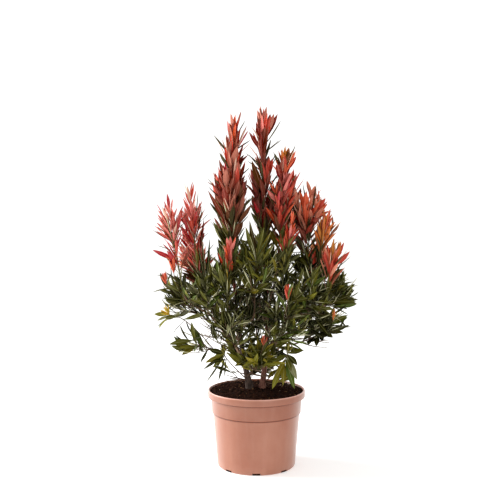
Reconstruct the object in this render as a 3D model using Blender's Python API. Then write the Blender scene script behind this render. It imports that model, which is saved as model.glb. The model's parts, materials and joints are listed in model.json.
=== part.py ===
"""A bottlebrush shrub in its nursery pot: the pot, its soil, two stems, the boughs and the masses of foliage.

Metres, +Z up, the front along -Y. The origin is the middle of the pot's flat underside.
"""

import functools
import itertools
import math
import random
from typing import NamedTuple

import bmesh
import bpy
import numpy as np
from mathutils import Matrix, Quaternion, Vector
from mathutils.bvhtree import BVHTree

# Pot
POT_HEIGHT = 0.150
POT_SIDES = 36
RIM_RADIUS = 0.095
RIM_DEPTH = 0.014
COLLAR_TOP_RADIUS = 0.0885
COLLAR_FOOT_RADIUS = 0.0870
COLLAR_FOOT_HEIGHT = 0.106
BODY_TOP_RADIUS = 0.0845
BODY_FOOT_RADIUS = 0.0760
FOOT_ROUNDING = 0.004
FOOT_ROUNDING_CUT = 0.3
LIP_ROUNDING = 0.0015
RIM_WALL = 0.0035
WALL = 0.0020
FLOOR = 0.0030
DRAIN_SLOTS = 8
DRAIN_SLOT_SIZE = (0.016, 0.024, 0.012)
DRAIN_SLOT_TOP = 0.0045

# Soil
SOIL_LEVEL = 0.152
SOIL_FLAT_RADIUS = 0.030
SOIL_EDGE_DROP = 0.0055
SOIL_RINGS = 4
SOIL_HEAPS = ((3, 0.0016, 0.6), (5, 0.0010, 2.0))

# Seats, and what keeps neighbours apart
GAP = 0.0003
LIMB_CLEARANCE = 0.0012
SPACE_MARGIN = 0.035

# Wood
STEM_SIDES = 8
STEM_RINGS = 13
FLARE = 0.40
FLARE_FADE_HEIGHT = 0.015
BOUGH_SIDES = 5
BOUGH_RINGS = 5
BOUGH_SHARE = 0.60
BOUGH_LEAST_ROOT_RADIUS = 0.0020
BOUGH_TIP_RADIUS = 0.0016
BOUGH_HANDLE = 0.36
BOUGH_RISE = 0.45
TWIG_SIDES = 3
TWIG_RINGS = 2
SHOOT_RINGS = 5
TWIG_TIP_RADIUS = 0.0011
TWIG_BEND = 0.55
SIDE_TWIG_THICKNESS = 0.85
FIRST_FORK = 0.14
FORK_RUN = 0.5
FORK_JITTER = (0.1, 0.5)
FORK_TURN_JITTER = 0.8
BARE_FOOT = 0.07
BARE_TWIG = 0.22
LINE_POINTS = 9
NEARLY_UPRIGHT = 0.9

# Leaves
GOLDEN_TURN = math.radians(137.508)
LEAF_THICKNESS = 0.0015
LEAF_ROOT_DEPTH = 0.4
LEAF_WIDEST = 0.52
LEAF_LENGTH_SPREAD = 0.12
LEAF_ANGLE_SPREAD = math.radians(7)
LEAF_CLOSINGS = (1.0, 0.75, 0.5, 0.25)
LEAF_SWINGS = (0.0, 0.6, -0.6)
LEAST_LEAVES = 3
PROBE_SHARES = (0.3, 0.5, 0.75)
LEAF_CLOSING_POWER = 1.5
TIP_LEAF_LOSS = 0.35
TIP_LEAF_LOSS_POWER = 3
TUFT_SHARE = 0.62
LEAF_FACES = ((0, 1, 2), (0, 2, 3), (0, 3, 1), (1, 4, 2), (2, 4, 3), (3, 4, 1))

COLOURS = {
    "pot": ((0.62, 0.30, 0.20, 1.0), 0.55),
    "soil": ((0.035, 0.020, 0.014, 1.0), 0.95),
    "bark": ((0.16, 0.10, 0.08, 1.0), 0.85),
    "green": ((0.07, 0.12, 0.03, 1.0), 0.45),
    "red": ((0.42, 0.06, 0.04, 1.0), 0.45),
    "bronze": ((0.22, 0.07, 0.04, 1.0), 0.45),
}


class Stem(NamedTuple):
    """A stem from its flat foot on the soil to its tip, bowed sideways by its middle."""

    foot: tuple
    tip: tuple
    bow: tuple
    foot_radius: float
    tip_radius: float


class Habit(NamedTuple):
    """How a mass of foliage grows: the fork of its side twigs, its leaves' opening and size, and its sag."""

    fork: float
    open_foot: float
    open_tip: float
    pitch: float
    leaf_length: float
    leaf_width: float
    sag: float


class Mass(NamedTuple):
    """A mass of foliage from the tip of its bough to its furthest leaf tip.

    Its bough forks from the parent at parent_share. A mass with no foot has no bough: it grows straight
    from the parent, and at a share of 1 from the parent's tip. No leaf lies further than radius from its
    middle line.
    """

    habit: str
    colour: str
    foot: tuple | None
    tip: tuple
    radius: float
    side_twigs: int
    parent: str
    parent_share: float


STEMS = {
    "stem_left": Stem((-0.013, 0.0), (-0.041, -0.007, 0.336), (-0.003, 0.0), 0.0068, 0.0034),
    "stem_right": Stem((0.011, 0.0), (0.020, 0.009, 0.336), (0.004, 0.0), 0.0060, 0.0031),
}

HABITS = {
    "leader": Habit(math.radians(20), math.radians(48), math.radians(17), 0.0078, 0.064, 0.0185, 0.0),
    "tuft": Habit(math.radians(28), math.radians(50), math.radians(16), 0.0115, 0.062, 0.0180, 0.02),
    "spray": Habit(math.radians(46), math.radians(66), math.radians(24), 0.0125, 0.070, 0.0225, 0.06),
}

MASSES = {
    "leader_left": Mass("leader", "red", None, (-0.040, -0.010, 0.684), 0.046, 2, "stem_left", 1.0),
    "leader_middle": Mass("leader", "bronze", None, (0.011, 0.010, 0.703), 0.038, 1, "stem_right", 1.0),
    "leader_right": Mass(
        "leader", "red", (0.041, -0.018, 0.400), (0.056, -0.020, 0.624), 0.038, 2,
        "stem_right", 0.78,
    ),
    "shoot_front_right": Mass(
        "tuft", "red", (0.044, -0.050, 0.330), (0.068, -0.062, 0.500), 0.045, 4,
        "stem_right", 0.53,
    ),
    "crown_right_back": Mass(
        "tuft", "red", (0.098, 0.018, 0.372), (0.110, 0.016, 0.550), 0.044, 3,
        "stem_right", 0.32,
    ),
    "crown_right_front": Mass(
        "tuft", "red", (0.116, -0.026, 0.372), (0.136, -0.028, 0.497), 0.034, 1,
        "bough_crown_right_back", 0.68,
    ),
    "flank_right": Mass(
        "tuft", "red", (0.130, -0.045, 0.325), (0.150, -0.055, 0.442), 0.032, 1,
        "bough_crown_right_back", 0.48,
    ),
    "crown_left_inner": Mass(
        "tuft", "red", (-0.110, 0.006, 0.346), (-0.132, 0.006, 0.552), 0.042, 3,
        "stem_left", 0.29,
    ),
    "crown_left_outer": Mass(
        "tuft", "red", (-0.142, -0.022, 0.346), (-0.170, -0.022, 0.526), 0.036, 2,
        "bough_crown_left_inner", 0.62,
    ),
    "shoot_front_left": Mass(
        "tuft", "red", (-0.056, -0.056, 0.300), (-0.048, -0.088, 0.456), 0.050, 4,
        "stem_left", 0.45,
    ),
    "crown_back_left": Mass(
        "leader", "bronze", (-0.060, 0.060, 0.350), (-0.052, 0.070, 0.600), 0.042, 1,
        "stem_left", 0.37,
    ),
    "crown_back_right": Mass(
        "leader", "bronze", (0.060, 0.062, 0.350), (0.060, 0.074, 0.575), 0.042, 1,
        "stem_right", 0.43,
    ),
    "flank_left_high": Mass(
        "spray", "green", (-0.096, 0.012, 0.284), (-0.184, 0.004, 0.362), 0.058, 5,
        "bough_crown_left_inner", 0.44,
    ),
    "flank_left_low": Mass(
        "spray", "green", (-0.070, -0.014, 0.228), (-0.164, -0.034, 0.262), 0.056, 5,
        "bough_crown_left_inner", 0.22,
    ),
    "heart_left": Mass(
        "spray", "green", (-0.080, -0.030, 0.292), (-0.102, -0.086, 0.396), 0.054, 5,
        "bough_crown_left_inner", 0.36,
    ),
    "front_high": Mass(
        "spray", "green", (-0.004, -0.044, 0.306), (0.000, -0.092, 0.450), 0.058, 5,
        "stem_left", 0.61,
    ),
    "front_left": Mass(
        "spray", "green", (-0.036, -0.038, 0.224), (-0.064, -0.118, 0.318), 0.060, 5,
        "stem_left", 0.21,
    ),
    "front_right": Mass(
        "spray", "green", (0.032, -0.040, 0.236), (0.064, -0.118, 0.334), 0.060, 5,
        "stem_right", 0.21,
    ),
    "heart_right": Mass(
        "spray", "green", (0.078, -0.036, 0.290), (0.112, -0.092, 0.390), 0.054, 5,
        "bough_crown_right_back", 0.34,
    ),
    "flank_right_high": Mass(
        "spray", "green", (0.104, 0.030, 0.300), (0.190, 0.024, 0.366), 0.056, 5,
        "bough_crown_right_back", 0.58,
    ),
    "flank_right_low": Mass(
        "spray", "green", (0.076, -0.004, 0.240), (0.168, -0.020, 0.284), 0.056, 5,
        "bough_crown_right_back", 0.18,
    ),
    "low_left": Mass("spray", "green", None, (-0.112, -0.040, 0.206), 0.046, 3, "stem_left", 0.08),
    "low_front": Mass("spray", "green", None, (0.010, -0.112, 0.232), 0.050, 4, "stem_left", 0.13),
    "low_right": Mass("spray", "green", None, (0.106, -0.044, 0.210), 0.046, 3, "stem_right", 0.05),
    "low_back": Mass("spray", "green", None, (0.006, 0.106, 0.216), 0.050, 4, "stem_right", 0.11),
    "back_left_low": Mass(
        "spray", "green", (-0.056, 0.044, 0.232), (-0.128, 0.112, 0.288), 0.058, 5,
        "stem_left", 0.19,
    ),
    "back_right_low": Mass(
        "spray", "green", (0.058, 0.046, 0.234), (0.130, 0.110, 0.292), 0.058, 5,
        "stem_right", 0.17,
    ),
    "back_low": Mass(
        "spray", "green", (0.000, 0.048, 0.250), (0.002, 0.126, 0.320), 0.058, 5,
        "stem_right", 0.27,
    ),
    "back_high": Mass(
        "spray", "green", (0.004, 0.056, 0.330), (0.002, 0.104, 0.452), 0.056, 5,
        "stem_right", 0.61,
    ),
    "back_left_high": Mass(
        "tuft", "green", (-0.092, 0.066, 0.316), (-0.138, 0.092, 0.430), 0.050, 4,
        "bough_crown_back_left", 0.40,
    ),
    "back_right_high": Mass(
        "tuft", "green", (0.096, 0.070, 0.316), (0.140, 0.090, 0.430), 0.050, 4,
        "bough_crown_back_right", 0.40,
    ),
}


def clear_scene():
    """Removes every object that the scene starts with."""
    for old in list(bpy.data.objects):
        bpy.data.objects.remove(old)


def material(name):
    """The Principled finish of one of COLOURS, made once."""
    found = bpy.data.materials.get(name)
    if found:
        return found
    colour, roughness = COLOURS[name]
    made = bpy.data.materials.new(name)
    made.use_nodes = True
    shader = made.node_tree.nodes["Principled BSDF"]
    shader.inputs["Base Color"].default_value = colour
    shader.inputs["Roughness"].default_value = roughness
    shader.inputs["Metallic"].default_value = 0.0
    return made


def add_object(name, mesh, colour=None, collection=None):
    """An object of this mesh, in the scene's own collection unless another is given."""
    made = bpy.data.objects.new(name, mesh)
    (collection or bpy.context.scene.collection).objects.link(made)
    if colour:
        mesh.materials.append(material(colour))
    return made


def hide_cutter(cutter):
    """Leaves a cutter out of the render and draws it as a wire."""
    cutter.hide_render = True
    cutter.display_type = "WIRE"


def cut(target, cutter):
    """Takes the cutter away from the target with a Boolean that stays on it."""
    hide_cutter(cutter)
    modifier = target.modifiers.new("cut_" + cutter.name, "BOOLEAN")
    modifier.operation = "DIFFERENCE"
    modifier.object = cutter


def turned(name, profile, colour):
    """A solid of revolution about Z from a profile of (radius, height) that starts and ends on the axis."""
    shape = bmesh.new()
    corners = [shape.verts.new((radius, 0.0, height)) for radius, height in profile]
    edges = [shape.edges.new(pair) for pair in zip(corners, corners[1:])]
    bmesh.ops.spin(
        shape,
        geom=corners + edges,
        cent=(0, 0, 0),
        axis=(0, 0, 1),
        angle=2 * math.pi,
        steps=POT_SIDES,
        use_merge=True,
    )
    bmesh.ops.remove_doubles(shape, verts=shape.verts, dist=1e-5)
    bmesh.ops.recalc_face_normals(shape, faces=shape.faces)
    mesh = bpy.data.meshes.new(name)
    shape.to_mesh(mesh)
    shape.free()
    mesh.shade_smooth()
    mesh.set_sharp_from_angle(angle=math.radians(30))
    return add_object(name, mesh, colour)


def pot_inner_profile(offset=0.0):
    """The inside of the pot's wall from the rim to the floor, moved in by offset."""
    rim_foot = POT_HEIGHT - RIM_DEPTH
    return [
        (RIM_RADIUS - RIM_WALL - offset, POT_HEIGHT - LIP_ROUNDING),
        (COLLAR_TOP_RADIUS - WALL - offset, rim_foot - WALL),
        (COLLAR_FOOT_RADIUS - WALL - offset, COLLAR_FOOT_HEIGHT),
        (BODY_TOP_RADIUS - WALL - offset, COLLAR_FOOT_HEIGHT - 2 * WALL),
        (BODY_FOOT_RADIUS - WALL - offset, FLOOR + offset),
    ]


def build_pot():
    """A moulded pot: a flat foot, a tapering body, a collar over a small step, a rim band and drain slots."""
    rim_foot = POT_HEIGHT - RIM_DEPTH
    corner = FOOT_ROUNDING_CUT * FOOT_ROUNDING
    outside = [
        (0.0, 0.0),
        (BODY_FOOT_RADIUS - FOOT_ROUNDING, 0.0),
        (BODY_FOOT_RADIUS - corner, corner),
        (BODY_FOOT_RADIUS, FOOT_ROUNDING),
        (BODY_TOP_RADIUS, COLLAR_FOOT_HEIGHT - WALL),
        (COLLAR_FOOT_RADIUS, COLLAR_FOOT_HEIGHT),
        (COLLAR_TOP_RADIUS, rim_foot - WALL),
        (RIM_RADIUS - LIP_ROUNDING, rim_foot),
        (RIM_RADIUS, rim_foot + LIP_ROUNDING),
        (RIM_RADIUS, POT_HEIGHT - LIP_ROUNDING),
        (RIM_RADIUS - LIP_ROUNDING, POT_HEIGHT),
        (RIM_RADIUS - RIM_WALL + LIP_ROUNDING / 2, POT_HEIGHT),
    ]
    pot = turned("pot", outside + pot_inner_profile() + [(0.0, FLOOR)], "pot")
    width, depth, height = DRAIN_SLOT_SIZE
    for number in range(DRAIN_SLOTS):
        turn = Matrix.Rotation(2 * math.pi * number / DRAIN_SLOTS, 4, "Z")
        shape = bmesh.new()
        place = turn @ Matrix.Translation((0.0, -BODY_FOOT_RADIUS, DRAIN_SLOT_TOP - height / 2))
        bmesh.ops.create_cube(shape, size=1.0, matrix=place @ Matrix.Diagonal((width, depth, height, 1.0)))
        mesh = bpy.data.meshes.new(f"drain_slot_{number}")
        shape.to_mesh(mesh)
        shape.free()
        cut(pot, add_object(mesh.name, mesh))


def soil_height(radius, angle):
    """The soil's level: flat round the stems, falling to the wall, with a few low heaps."""
    wall = RIM_RADIUS - RIM_WALL
    out = max(0.0, (radius - SOIL_FLAT_RADIUS) / (wall - SOIL_FLAT_RADIUS))
    heaps = sum(height * math.sin(count * angle + turn) for count, height, turn in SOIL_HEAPS)
    return SOIL_LEVEL - SOIL_EDGE_DROP * out**2 + heaps * math.sin(math.pi * out)


def build_soil():
    """The filling of the pot, GAP clear of its wall and floor, with an uneven top."""
    profile = pot_inner_profile(GAP)
    wall_radius = profile[0][0] - WALL
    top = [(radius, SOIL_LEVEL) for radius in taper(wall_radius, SOIL_FLAT_RADIUS, SOIL_RINGS)]
    soil = turned("soil", [(0.0, FLOOR + GAP)] + profile[:0:-1] + top + [(0.0, SOIL_LEVEL)], "soil")
    for corner in soil.data.vertices:
        x, y, z = corner.co
        if z > SOIL_LEVEL - GAP:
            corner.co.z = soil_height(math.hypot(x, y), math.atan2(y, x))


class Limb(NamedTuple):
    """A stem, bough or twig: the points of its middle line, and its direction and radius at each."""

    path: list
    along: list
    radii: list


def taper(first, last, count):
    """Evenly spaced numbers from first to last."""
    return [first + (last - first) * k / (count - 1) for k in range(count)]


def curve_at(controls, share):
    """The point and direction at a share of the Bezier curve of these control points."""
    while len(controls) > 2:
        controls = [first.lerp(second, share) for first, second in zip(controls, controls[1:])]
    return controls[0].lerp(controls[1], share), (controls[1] - controls[0]).normalized()


def curved_limb(controls, radii):
    """A limb along the Bezier curve of these control points, with a point for each radius."""
    places = [curve_at(controls, share) for share in taper(0.0, 1.0, len(radii))]
    return Limb([point for point, _ in places], [direction for _, direction in places], radii)


def point_at(limb, share):
    """The point, direction and radius of a limb at a share of its path."""
    place = share * (len(limb.path) - 1)
    below = min(int(place), len(limb.path) - 2)
    part = place - below
    point = limb.path[below].lerp(limb.path[below + 1], part)
    direction = limb.along[below].lerp(limb.along[below + 1], part).normalized()
    return point, direction, limb.radii[below] * (1 - part) + limb.radii[below + 1] * part


def square_to(direction):
    """A direction at right angles to this one."""
    other = Vector((0, 0, 1)) if abs(direction.z) < NEARLY_UPRIGHT else Vector((1, 0, 0))
    return direction.cross(other).normalized()


def tube_mesh(name, limb, sides):
    """A closed tapering tube along a limb, with flat ends."""
    side = square_to(limb.along[0])
    rings = []
    shape = bmesh.new()
    for point, direction, radius in zip(*limb):
        side = (side - direction * side.dot(direction)).normalized()
        turns = [Quaternion(direction, 2 * math.pi * k / sides) for k in range(sides)]
        rings.append([shape.verts.new(point + turn @ side * radius) for turn in turns])
    for lower, upper in zip(rings, rings[1:]):
        for k in range(sides):
            after = (k + 1) % sides
            shape.faces.new((lower[k], lower[after], upper[after], upper[k]))
    shape.faces.new(reversed(rings[0]))
    shape.faces.new(rings[-1])
    mesh = bpy.data.meshes.new(name)
    shape.to_mesh(mesh)
    shape.free()
    return mesh


def stem_limb(stem):
    """A stem from the soil up, with its root flare."""
    foot = Vector((*stem.foot, SOIL_LEVEL + GAP))
    tip = Vector(stem.tip)
    middle = foot.lerp(tip, 0.5) + Vector((*stem.bow, 0)) * 2
    stem_line = curved_limb([foot, middle, tip], taper(stem.foot_radius, stem.tip_radius, STEM_RINGS))
    radii = [
        radius * (1 + FLARE * math.exp((foot.z - point.z) / FLARE_FADE_HEIGHT))
        for point, radius in zip(stem_line.path, stem_line.radii)
    ]
    stem_line.along[0] = Vector((0, 0, 1))
    return stem_line._replace(radii=radii)


def mass_controls(mass, limbs):
    """The control points of a mass's middle line, from its foot to its furthest tip.

    A spray sags before it rises, and what stands on a stem's tip sets off in the stem's direction.
    """
    fork, rising, _ = point_at(limbs[mass.parent], mass.parent_share)
    foot = Vector(mass.foot) if mass.foot else fork
    tip = Vector(mass.tip)
    length = (tip - foot).length
    if mass.parent_share == 1:
        return [foot, foot + rising * length / 2, tip]
    return [foot, foot.lerp(tip, 0.5) - Vector((0, 0, HABITS[mass.habit].sag * length)), tip]


def bough_limb(mass, limbs):
    """The bough from its parent's middle line to the foot of its mass, which it meets end on."""
    start, rising, parent_radius = point_at(limbs[mass.parent], mass.parent_share)
    foot, middle, _ = mass_controls(mass, limbs)
    span = foot - start
    handle = BOUGH_HANDLE * span.length
    leaving = (span.normalized() + rising * BOUGH_RISE).normalized()
    arrival = (middle - foot).normalized()
    controls = [start, start + leaving * handle, foot - arrival * handle, foot]
    root_radius = max(BOUGH_SHARE * parent_radius, BOUGH_LEAST_ROOT_RADIUS)
    return curved_limb(controls, taper(root_radius, BOUGH_TIP_RADIUS, BOUGH_RINGS))


def cut_saddle(solid, parent_name, parent):
    """Cuts the solid's foot to a saddle that lies GAP clear of its parent."""
    sides = STEM_SIDES if parent_name in STEMS else BOUGH_SIDES
    wider = parent._replace(radii=[radius + GAP for radius in parent.radii])
    name = solid.name + "_saddle"
    cut(solid, add_object(name, tube_mesh(name, wider, sides)))


def plan_limbs():
    """Every stem and bough by name, and the name of each bough's parent."""
    limbs = {name: stem_limb(stem) for name, stem in STEMS.items()}
    parents = {}
    waiting = {name: mass for name, mass in MASSES.items() if mass.foot}
    while waiting:
        for name, mass in list(waiting.items()):
            if mass.parent in limbs:
                limbs["bough_" + name] = bough_limb(mass, limbs)
                parents["bough_" + name] = mass.parent
                del waiting[name]
    return limbs, parents


def distances(points, starts, ends):
    """How far each point is from each stretch, and at what share of it, as points by stretches."""
    run = ends - starts
    offset = points[:, None, :] - starts[None, :, :]
    share = np.clip((offset * run).sum(2) / (run * run).sum(1), 0, 1)
    nearest = starts + share[:, :, None] * run
    return np.linalg.norm(points[:, None, :] - nearest, axis=2), share


class Spaces:
    """Who may grow where: each mass keeps to the space nearest its own middle line, clear of every limb."""

    def __init__(self, limbs):
        self.names = list(MASSES)
        self.radii = np.array([mass.radius for mass in MASSES.values()])
        controls = [mass_controls(mass, limbs) for mass in MASSES.values()]
        shares = taper(0.0, 1.0, LINE_POINTS)
        lines = [[curve_at(each, share)[0] for share in shares] for each in controls]
        self.starts = np.array([point for line in lines for point in line[:-1]])
        self.ends = np.array([point for line in lines for point in line[1:]])
        self.limb_starts = np.array([point for limb in limbs.values() for point in limb.path[:-1]])
        self.limb_ends = np.array([point for limb in limbs.values() for point in limb.path[1:]])
        self.limb_first = np.array([radius for limb in limbs.values() for radius in limb.radii[:-1]])
        self.limb_last = np.array([radius for limb in limbs.values() for radius in limb.radii[1:]])

    def holds(self, name, points, half_width=0.0):
        """Whether the points lie in this mass's space and clear of the limbs."""
        points = np.array(points)
        far, _ = distances(points, self.starts, self.ends)
        each = far.reshape(len(points), len(self.names), LINE_POINTS - 1).min(2) / self.radii
        own = self.names.index(name)
        mine = each[:, own].copy()
        each[:, own] = np.inf
        if (mine > 1).any() or (mine + SPACE_MARGIN > each.min(1)).any():
            return False
        far, share = distances(points, self.limb_starts, self.limb_ends)
        thick = self.limb_first * (1 - share) + self.limb_last * share
        return bool((far > thick + LIMB_CLEARANCE + half_width).all())


def main_shoot(mass, limbs):
    """The shoot that runs up the middle of a mass and ends inside its last tuft of leaves."""
    foot, middle, tip = mass_controls(mass, limbs)
    end = 1 - TUFT_SHARE * HABITS[mass.habit].leaf_length / (tip - foot).length
    top, _ = curve_at([foot, middle, tip], end)
    start = foot + (middle - foot).normalized() * GAP
    root_radius = limbs[mass.parent].radii[-1] if mass.parent_share == 1 else BOUGH_TIP_RADIUS
    radii = taper(root_radius, TWIG_TIP_RADIUS, SHOOT_RINGS)
    return curved_limb([start, foot.lerp(middle, end), top], radii)


def side_shoot(mass, trunk, number, chance):
    """The side twig of this number. They leave the main shoot by the golden angle and bend back to it."""
    habit = HABITS[mass.habit]
    share = FIRST_FORK + FORK_RUN * (number + chance.uniform(*FORK_JITTER)) / mass.side_twigs
    start, axis, radius = point_at(trunk, share)
    turn = number * GOLDEN_TURN + chance.uniform(0, FORK_TURN_JITTER)
    outward = Quaternion(axis, turn) @ square_to(axis)
    heading = axis * math.cos(habit.fork) + outward * math.sin(habit.fork)
    half = max((trunk.path[-1] - trunk.path[0]).length * (1 - share), habit.leaf_length / 2) / 2
    middle = start + heading * half
    end = middle + heading.lerp(axis, TWIG_BEND).normalized() * half
    root_radius = min(SIDE_TWIG_THICKNESS * radius, BOUGH_TIP_RADIUS)
    return curved_limb([start, middle, end], taper(root_radius, TWIG_TIP_RADIUS, TWIG_RINGS))


def leaf_corners(root, axis, outward, opening, length, width):
    """A keeled blade: its root, the two edges and the keel at its widest place, and its tip."""
    heading = axis * math.cos(opening) + outward * math.sin(opening)
    across = heading.cross(outward).normalized()
    normal = heading.cross(across)
    widest = root + heading * LEAF_WIDEST * length
    edges = [widest + across * side * width / 2 + normal * LEAF_THICKNESS / 3 for side in (-1, 1)]
    return [root, *edges, widest - normal * LEAF_THICKNESS * 2 / 3, root + heading * length]


def leaf_probes(corners):
    """Points along a leaf's edges, where its space is tested."""
    root, left, right, keel, tip = corners
    probes = [left, right, keel, tip]
    for share in PROBE_SHARES:
        for side in (left, right):
            probes += [root.lerp(side, share), side.lerp(tip, share)]
    return probes


def mesh_tree(mesh):
    """The mesh's faces in a form that another's can be tested against."""
    corners = [corner.co for corner in mesh.vertices]
    return BVHTree.FromPolygons(corners, [face.vertices for face in mesh.polygons])


class Room:
    """The room left in a mass's space beside the twigs and leaves that it holds so far."""

    def __init__(self, name, spaces, twig_meshes):
        self.name = name
        self.spaces = spaces
        self.twigs = [mesh_tree(mesh) for mesh in twig_meshes]
        self.leaves = []

    def admits(self, corners, own_twig):
        """Takes in a leaf that keeps to the space and crosses nothing there but its own twig."""
        if not self.spaces.holds(self.name, leaf_probes(corners)):
            return False
        leaf = BVHTree.FromPolygons(corners, LEAF_FACES)
        twigs = self.twigs[:own_twig] + self.twigs[own_twig + 1 :]
        if any(leaf.overlap(other) for other in twigs + self.leaves):
            return False
        self.leaves.append(leaf)
        return True


def leaves_of(shoot, bare, habit, chance, admits):
    """The leaves of a shoot beyond its bare share, in a spiral that closes towards the tip, as their corners.

    A leaf with no room closes towards its shoot or swings round it, and is left out where that isn't enough.
    """
    length = (shoot.path[-1] - shoot.path[0]).length
    count = max(LEAST_LEAVES, round(length * (1 - bare) / habit.pitch))
    turn = chance.uniform(0, 2 * math.pi)
    made = []
    for number in range(count):
        share = bare + (1 - bare) * (number + 0.5) / count
        place, axis, radius = point_at(shoot, share)
        turn += GOLDEN_TURN
        closed = share**LEAF_CLOSING_POWER
        opening = habit.open_foot * (1 - closed) + habit.open_tip * closed
        opening += chance.uniform(-LEAF_ANGLE_SPREAD, LEAF_ANGLE_SPREAD)
        size = 1 + chance.uniform(-LEAF_LENGTH_SPREAD, LEAF_LENGTH_SPREAD)
        size -= TIP_LEAF_LOSS * share**TIP_LEAF_LOSS_POWER
        length, width = habit.leaf_length * size, habit.leaf_width * size
        for swing, closing in itertools.product(LEAF_SWINGS, LEAF_CLOSINGS):
            outward = Quaternion(axis, turn + swing) @ square_to(axis)
            root = place - outward * LEAF_ROOT_DEPTH * radius
            leaf = leaf_corners(root, axis, outward, opening * closing, length, width)
            if admits(leaf):
                made.append(leaf)
                break
    return made


def join_all(base, meshes):
    """Fuses the meshes to the base with one Boolean union on a collection, and applies its modifiers."""
    pieces = bpy.data.collections.new(base.name + "_pieces")
    bpy.context.scene.collection.children.link(pieces)
    for number, mesh in enumerate(meshes):
        add_object(f"{base.name}_piece_{number}", mesh, None, pieces)
    modifier = base.modifiers.new("join", "BOOLEAN")
    modifier.operation = "UNION"
    modifier.operand_type = "COLLECTION"
    modifier.collection = pieces
    graph = bpy.context.evaluated_depsgraph_get()
    joined = bpy.data.meshes.new_from_object(base.evaluated_get(graph))
    cutters = [modifier.object for modifier in base.modifiers if modifier.operand_type == "OBJECT"]
    base.modifiers.clear()
    base.data = joined
    for helper in [*pieces.objects, *cutters]:
        bpy.data.objects.remove(helper)
    bpy.data.collections.remove(pieces)


def build_mass(name, mass, limbs, spaces):
    """A mass of foliage: its shoots and the leaves that find room on them, fused into one solid."""
    chance = random.Random(name)
    trunk = main_shoot(mass, limbs)
    base = add_object("foliage_" + name, tube_mesh(name, trunk, TWIG_SIDES))
    if not mass.foot and mass.parent_share < 1:
        cut_saddle(base, mass.parent, limbs[mass.parent])
    twigs = [side_shoot(mass, trunk, number, chance) for number in range(mass.side_twigs)]
    twigs = [twig for twig in twigs if spaces.holds(name, twig.path[1:], BOUGH_TIP_RADIUS)]
    twig_meshes = [tube_mesh("twig", twig, TWIG_SIDES) for twig in twigs]
    room = Room(name, spaces, [base.data, *twig_meshes])
    leaf_meshes = []
    for number, shoot in enumerate([trunk, *twigs]):
        bare = BARE_TWIG if number else BARE_FOOT
        admits = functools.partial(room.admits, own_twig=number)
        for corners in leaves_of(shoot, bare, HABITS[mass.habit], chance, admits):
            leaf_meshes.append(bpy.data.meshes.new("leaf"))
            leaf_meshes[-1].from_pydata(corners, [], LEAF_FACES)
    join_all(base, twig_meshes + leaf_meshes)
    base.data.materials.clear()
    base.data.materials.append(material(mass.colour))


def main():
    """Builds the pot and its soil, then the stems and boughs, then the masses of foliage."""
    clear_scene()
    build_pot()
    build_soil()
    limbs, parents = plan_limbs()
    for name, limb in limbs.items():
        sides = STEM_SIDES if name in STEMS else BOUGH_SIDES
        solid = add_object(name, tube_mesh(name, limb, sides), "bark")
        if name in parents:
            cut_saddle(solid, parents[name], limbs[parents[name]])
    spaces = Spaces(limbs)
    for name, mass in MASSES.items():
        build_mass(name, mass, limbs, spaces)


main()
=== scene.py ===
"""The looks of a potted bottlebrush shrub: its pot, soil, bark, twigs and every leaf.

Metres, +Z up, the front along -Y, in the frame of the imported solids. The stems, boughs and masses of foliage
grow by the rule of the solids, and are carried on to finer twigs and to leaves of their real size.
"""

import itertools
import json
import logging
import random
import sys
from collections.abc import Callable, Iterable, Sequence
from dataclasses import KW_ONLY, dataclass, field, replace
from enum import Enum
from functools import cached_property
from math import atan, atan2, cos, exp, hypot, log, pi, radians, sin, sqrt
from typing import Any

import bmesh
import bpy
import numpy as np
from bpy.types import Material, Mesh, Object, World
from mathutils import Euler, Matrix, Quaternion, Vector, noise

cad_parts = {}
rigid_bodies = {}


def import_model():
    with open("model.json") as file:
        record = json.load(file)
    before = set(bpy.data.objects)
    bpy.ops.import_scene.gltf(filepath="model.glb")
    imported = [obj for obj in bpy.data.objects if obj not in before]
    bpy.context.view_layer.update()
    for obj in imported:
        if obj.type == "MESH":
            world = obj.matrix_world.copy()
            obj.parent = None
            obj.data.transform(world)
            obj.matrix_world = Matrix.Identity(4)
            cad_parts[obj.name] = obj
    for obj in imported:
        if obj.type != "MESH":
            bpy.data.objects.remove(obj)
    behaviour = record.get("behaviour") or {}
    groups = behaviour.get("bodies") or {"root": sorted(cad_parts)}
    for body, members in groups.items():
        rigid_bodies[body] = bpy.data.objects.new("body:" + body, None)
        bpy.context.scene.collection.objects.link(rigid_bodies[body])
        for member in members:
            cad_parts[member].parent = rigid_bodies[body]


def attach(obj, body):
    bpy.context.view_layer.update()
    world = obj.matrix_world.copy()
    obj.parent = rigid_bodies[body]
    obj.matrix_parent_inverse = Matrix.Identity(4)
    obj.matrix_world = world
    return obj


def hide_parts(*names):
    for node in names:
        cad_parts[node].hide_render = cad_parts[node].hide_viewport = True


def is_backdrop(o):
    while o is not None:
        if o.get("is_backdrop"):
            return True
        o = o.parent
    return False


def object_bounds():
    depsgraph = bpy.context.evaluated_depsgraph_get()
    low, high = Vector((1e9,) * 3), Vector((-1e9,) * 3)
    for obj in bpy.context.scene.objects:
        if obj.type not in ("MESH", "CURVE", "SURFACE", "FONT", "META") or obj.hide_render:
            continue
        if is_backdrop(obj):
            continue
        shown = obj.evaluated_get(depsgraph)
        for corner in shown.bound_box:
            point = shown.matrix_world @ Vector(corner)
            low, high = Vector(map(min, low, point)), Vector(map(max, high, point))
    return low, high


LOG = logging.getLogger("bottlebrush")
BODY = "root"
GOLDEN_TURN = radians(137.508)
SHARP_EDGE = radians(35)
MILLIMETRES = 1000
UPRIGHT = 0.9

# Heights, gaps and counts that the solids share
SOIL_LEVEL = 0.152
GAP = 0.0003
STEM_RINGS = 13
BOUGH_RINGS = 5
LINE_POINTS = 9

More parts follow.
